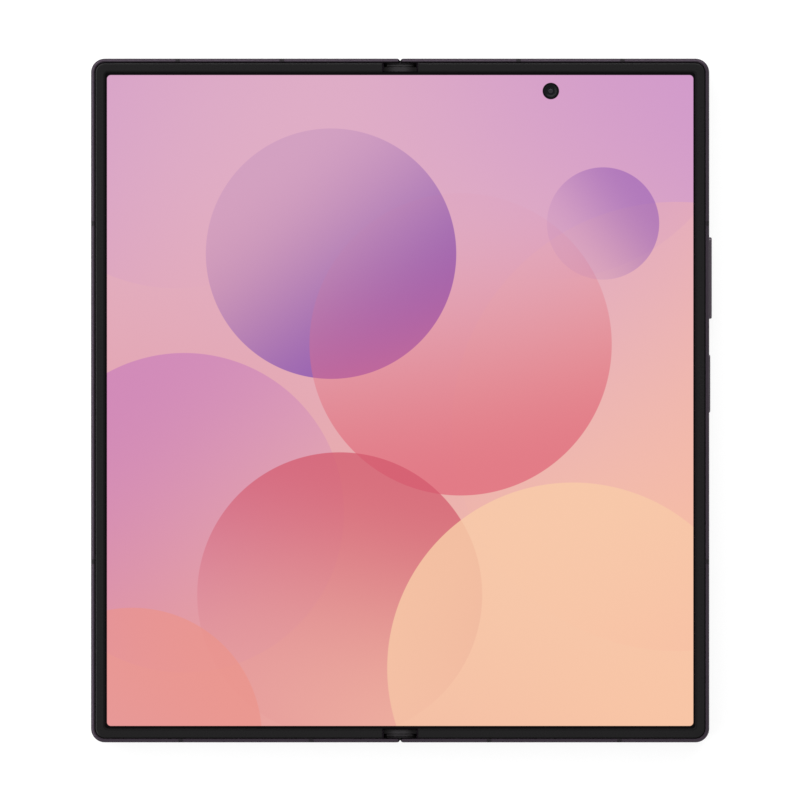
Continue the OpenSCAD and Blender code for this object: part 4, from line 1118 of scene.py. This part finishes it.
def seeing_ray(tree):
    """1 for rays of the camera and for those that mirror or pass through, and 0 for the rest."""
    path = tree.nodes.new("ShaderNodeLightPath").outputs
    either = add_math(tree, "MAXIMUM", path["Is Camera Ray"], path["Is Glossy Ray"])
    return add_math(tree, "MAXIMUM", either, path["Is Transmission Ray"])


def floor_material(stage):
    """Pale floor that looks white where it is lit and keeps the phone's shadow."""
    material = bpy.data.materials.new("pale_floor")
    material.use_nodes = True
    tree = material.node_tree
    tree.nodes.clear()
    lift = add_math(tree, "MULTIPLY", seeing_ray(tree), stage.floor_lift)
    matt = add_node(tree, "ShaderNodeBsdfDiffuse", Color=stage.floor_colour)
    glow = add_node(tree, "ShaderNodeEmission", Strength=lift)
    both = tree.nodes.new("ShaderNodeAddShader")
    feed(tree, both.inputs[0], matt.outputs[0])
    feed(tree, both.inputs[1], glow.outputs[0])
    add_node(tree, "ShaderNodeOutputMaterial", Surface=both.outputs[0])
    return material


def light_world(stage):
    """Soft light from overhead and from the upper left, which looks white where it is seen."""
    white = (1, 1, 1, 1)
    world = bpy.data.worlds.new("studio_light")
    bpy.context.scene.world = world
    world.use_nodes = True
    tree = world.node_tree
    tree.nodes.clear()
    direction = tree.nodes.new("ShaderNodeTexCoord").outputs["Generated"]
    height = add_node(tree, "ShaderNodeSeparateXYZ", Vector=direction).outputs["Z"]
    toward_light = add_vector_math(tree, "DOT_PRODUCT", direction, LIGHT_WAY, scalar=True)
    level = add_range(tree, toward_light, -0.7, 0.7, stage.dark_side, stage.light_side, smooth=True)
    strength = add_range(tree, height, 0.15, 0.95, level, stage.overhead, smooth=True)
    soft = add_node(tree, "ShaderNodeBackground", Color=white, Strength=strength)
    seen = add_node(tree, "ShaderNodeBackground", Color=white, Strength=1.0)
    mix = tree.nodes.new("ShaderNodeMixShader")
    for socket, source in zip(mix.inputs, (seeing_ray(tree), soft.outputs[0], seen.outputs[0])):
        feed(tree, socket, source)
    add_node(tree, "ShaderNodeOutputWorld", Surface=mix.outputs[0])


class PHONE_OT_stage(bpy.types.Operator):
    """Lays the floor, lights the phone and sets the camera straight above it"""

    bl_idname = "phone.make_stage"
    bl_label = "Stage"

    def execute(self, context):
        stage = context.scene.phone_stage
        context.scene.view_settings.view_transform = "Standard"
        light_world(stage)

        reach = stage.floor_size / 2
        bm = bmesh.new()
        square = ((-1, -1), (1, -1), (1, 1), (-1, 1))
        bm.faces.new([bm.verts.new((reach * x, reach * y, 0)) for x, y in square])
        mesh = bpy.data.meshes.new("floor")
        bm.to_mesh(mesh)
        bm.free()
        mesh.materials.append(floor_material(stage))
        floor = bpy.data.objects.new("floor", mesh)
        context.collection.objects.link(floor)

        for name, place in LAMP_PLACES:
            light = bpy.data.lights.new(name, "AREA")
            light.shape = "RECTANGLE"
            light.energy = stage.lamp_power
            light.size = stage.lamp_width
            light.size_y = stage.lamp_height
            lamp = bpy.data.objects.new(name, light)
            lamp.location = place
            lamp.rotation_mode = "QUATERNION"
            lamp.rotation_quaternion = (-lamp.location).to_track_quat("-Z", "Y")
            lamp.visible_camera = False
            context.collection.objects.link(lamp)

        eye = bpy.data.cameras.new("camera")
        eye.lens = stage.lens
        camera = bpy.data.objects.new("camera", eye)
        distance = stage.photo_width * stage.lens / eye.sensor_width
        camera.location = (stage.aim_x, stage.aim_y, FRONT_Z + distance)
        eye.clip_end = 10 * distance
        context.collection.objects.link(camera)
        context.scene.camera = camera
        return {"FINISHED"}


class PHONE_PT_panel(bpy.types.Panel):
    """Buttons that build the phone's pieces"""

    bl_idname = "PHONE_PT_panel"
    bl_label = "Folding Phone"
    bl_space_type = "VIEW_3D"
    bl_region_type = "UI"
    bl_category = "Phone"

    def draw(self, context):
        for operator in OPERATORS:
            self.layout.operator(operator.bl_idname)


SETTINGS = (
    ("phone_stage", PhoneStageSettings),
    ("phone_screen", PhoneScreenSettings),
    ("phone_finish", PhoneFinishSettings),
    ("phone_shape", PhoneShapeSettings),
)
OPERATORS = (
    PHONE_OT_stage,
    PHONE_OT_frames,
    PHONE_OT_bezels,
    PHONE_OT_screen,
    PHONE_OT_hinge,
    PHONE_OT_keys,
    PHONE_OT_inner_camera,
    PHONE_OT_rear,
    PHONE_OT_rear_cameras,
    PHONE_OT_inner_parts,
)


def register():
    for name, group in SETTINGS:
        bpy.utils.register_class(group)
        setattr(bpy.types.Scene, name, PointerProperty(type=group))
    for item in (*OPERATORS, PHONE_PT_panel):
        bpy.utils.register_class(item)


def unregister():
    for item in reversed((*OPERATORS, PHONE_PT_panel)):
        bpy.utils.unregister_class(item)
    for name, group in reversed(SETTINGS):
        delattr(bpy.types.Scene, name)
        bpy.utils.unregister_class(group)


def main():
    register()
    bpy.ops.phone.make_stage()
    bpy.ops.phone.finish_frames()
    bpy.ops.phone.make_bezels()
    bpy.ops.phone.make_screen()
    bpy.ops.phone.make_hinge()
    bpy.ops.phone.make_keys()
    bpy.ops.phone.make_inner_camera()
    bpy.ops.phone.make_rear()
    bpy.ops.phone.make_rear_cameras()
    bpy.ops.phone.finish_inner_parts()


if __name__ == "__main__":
    main()
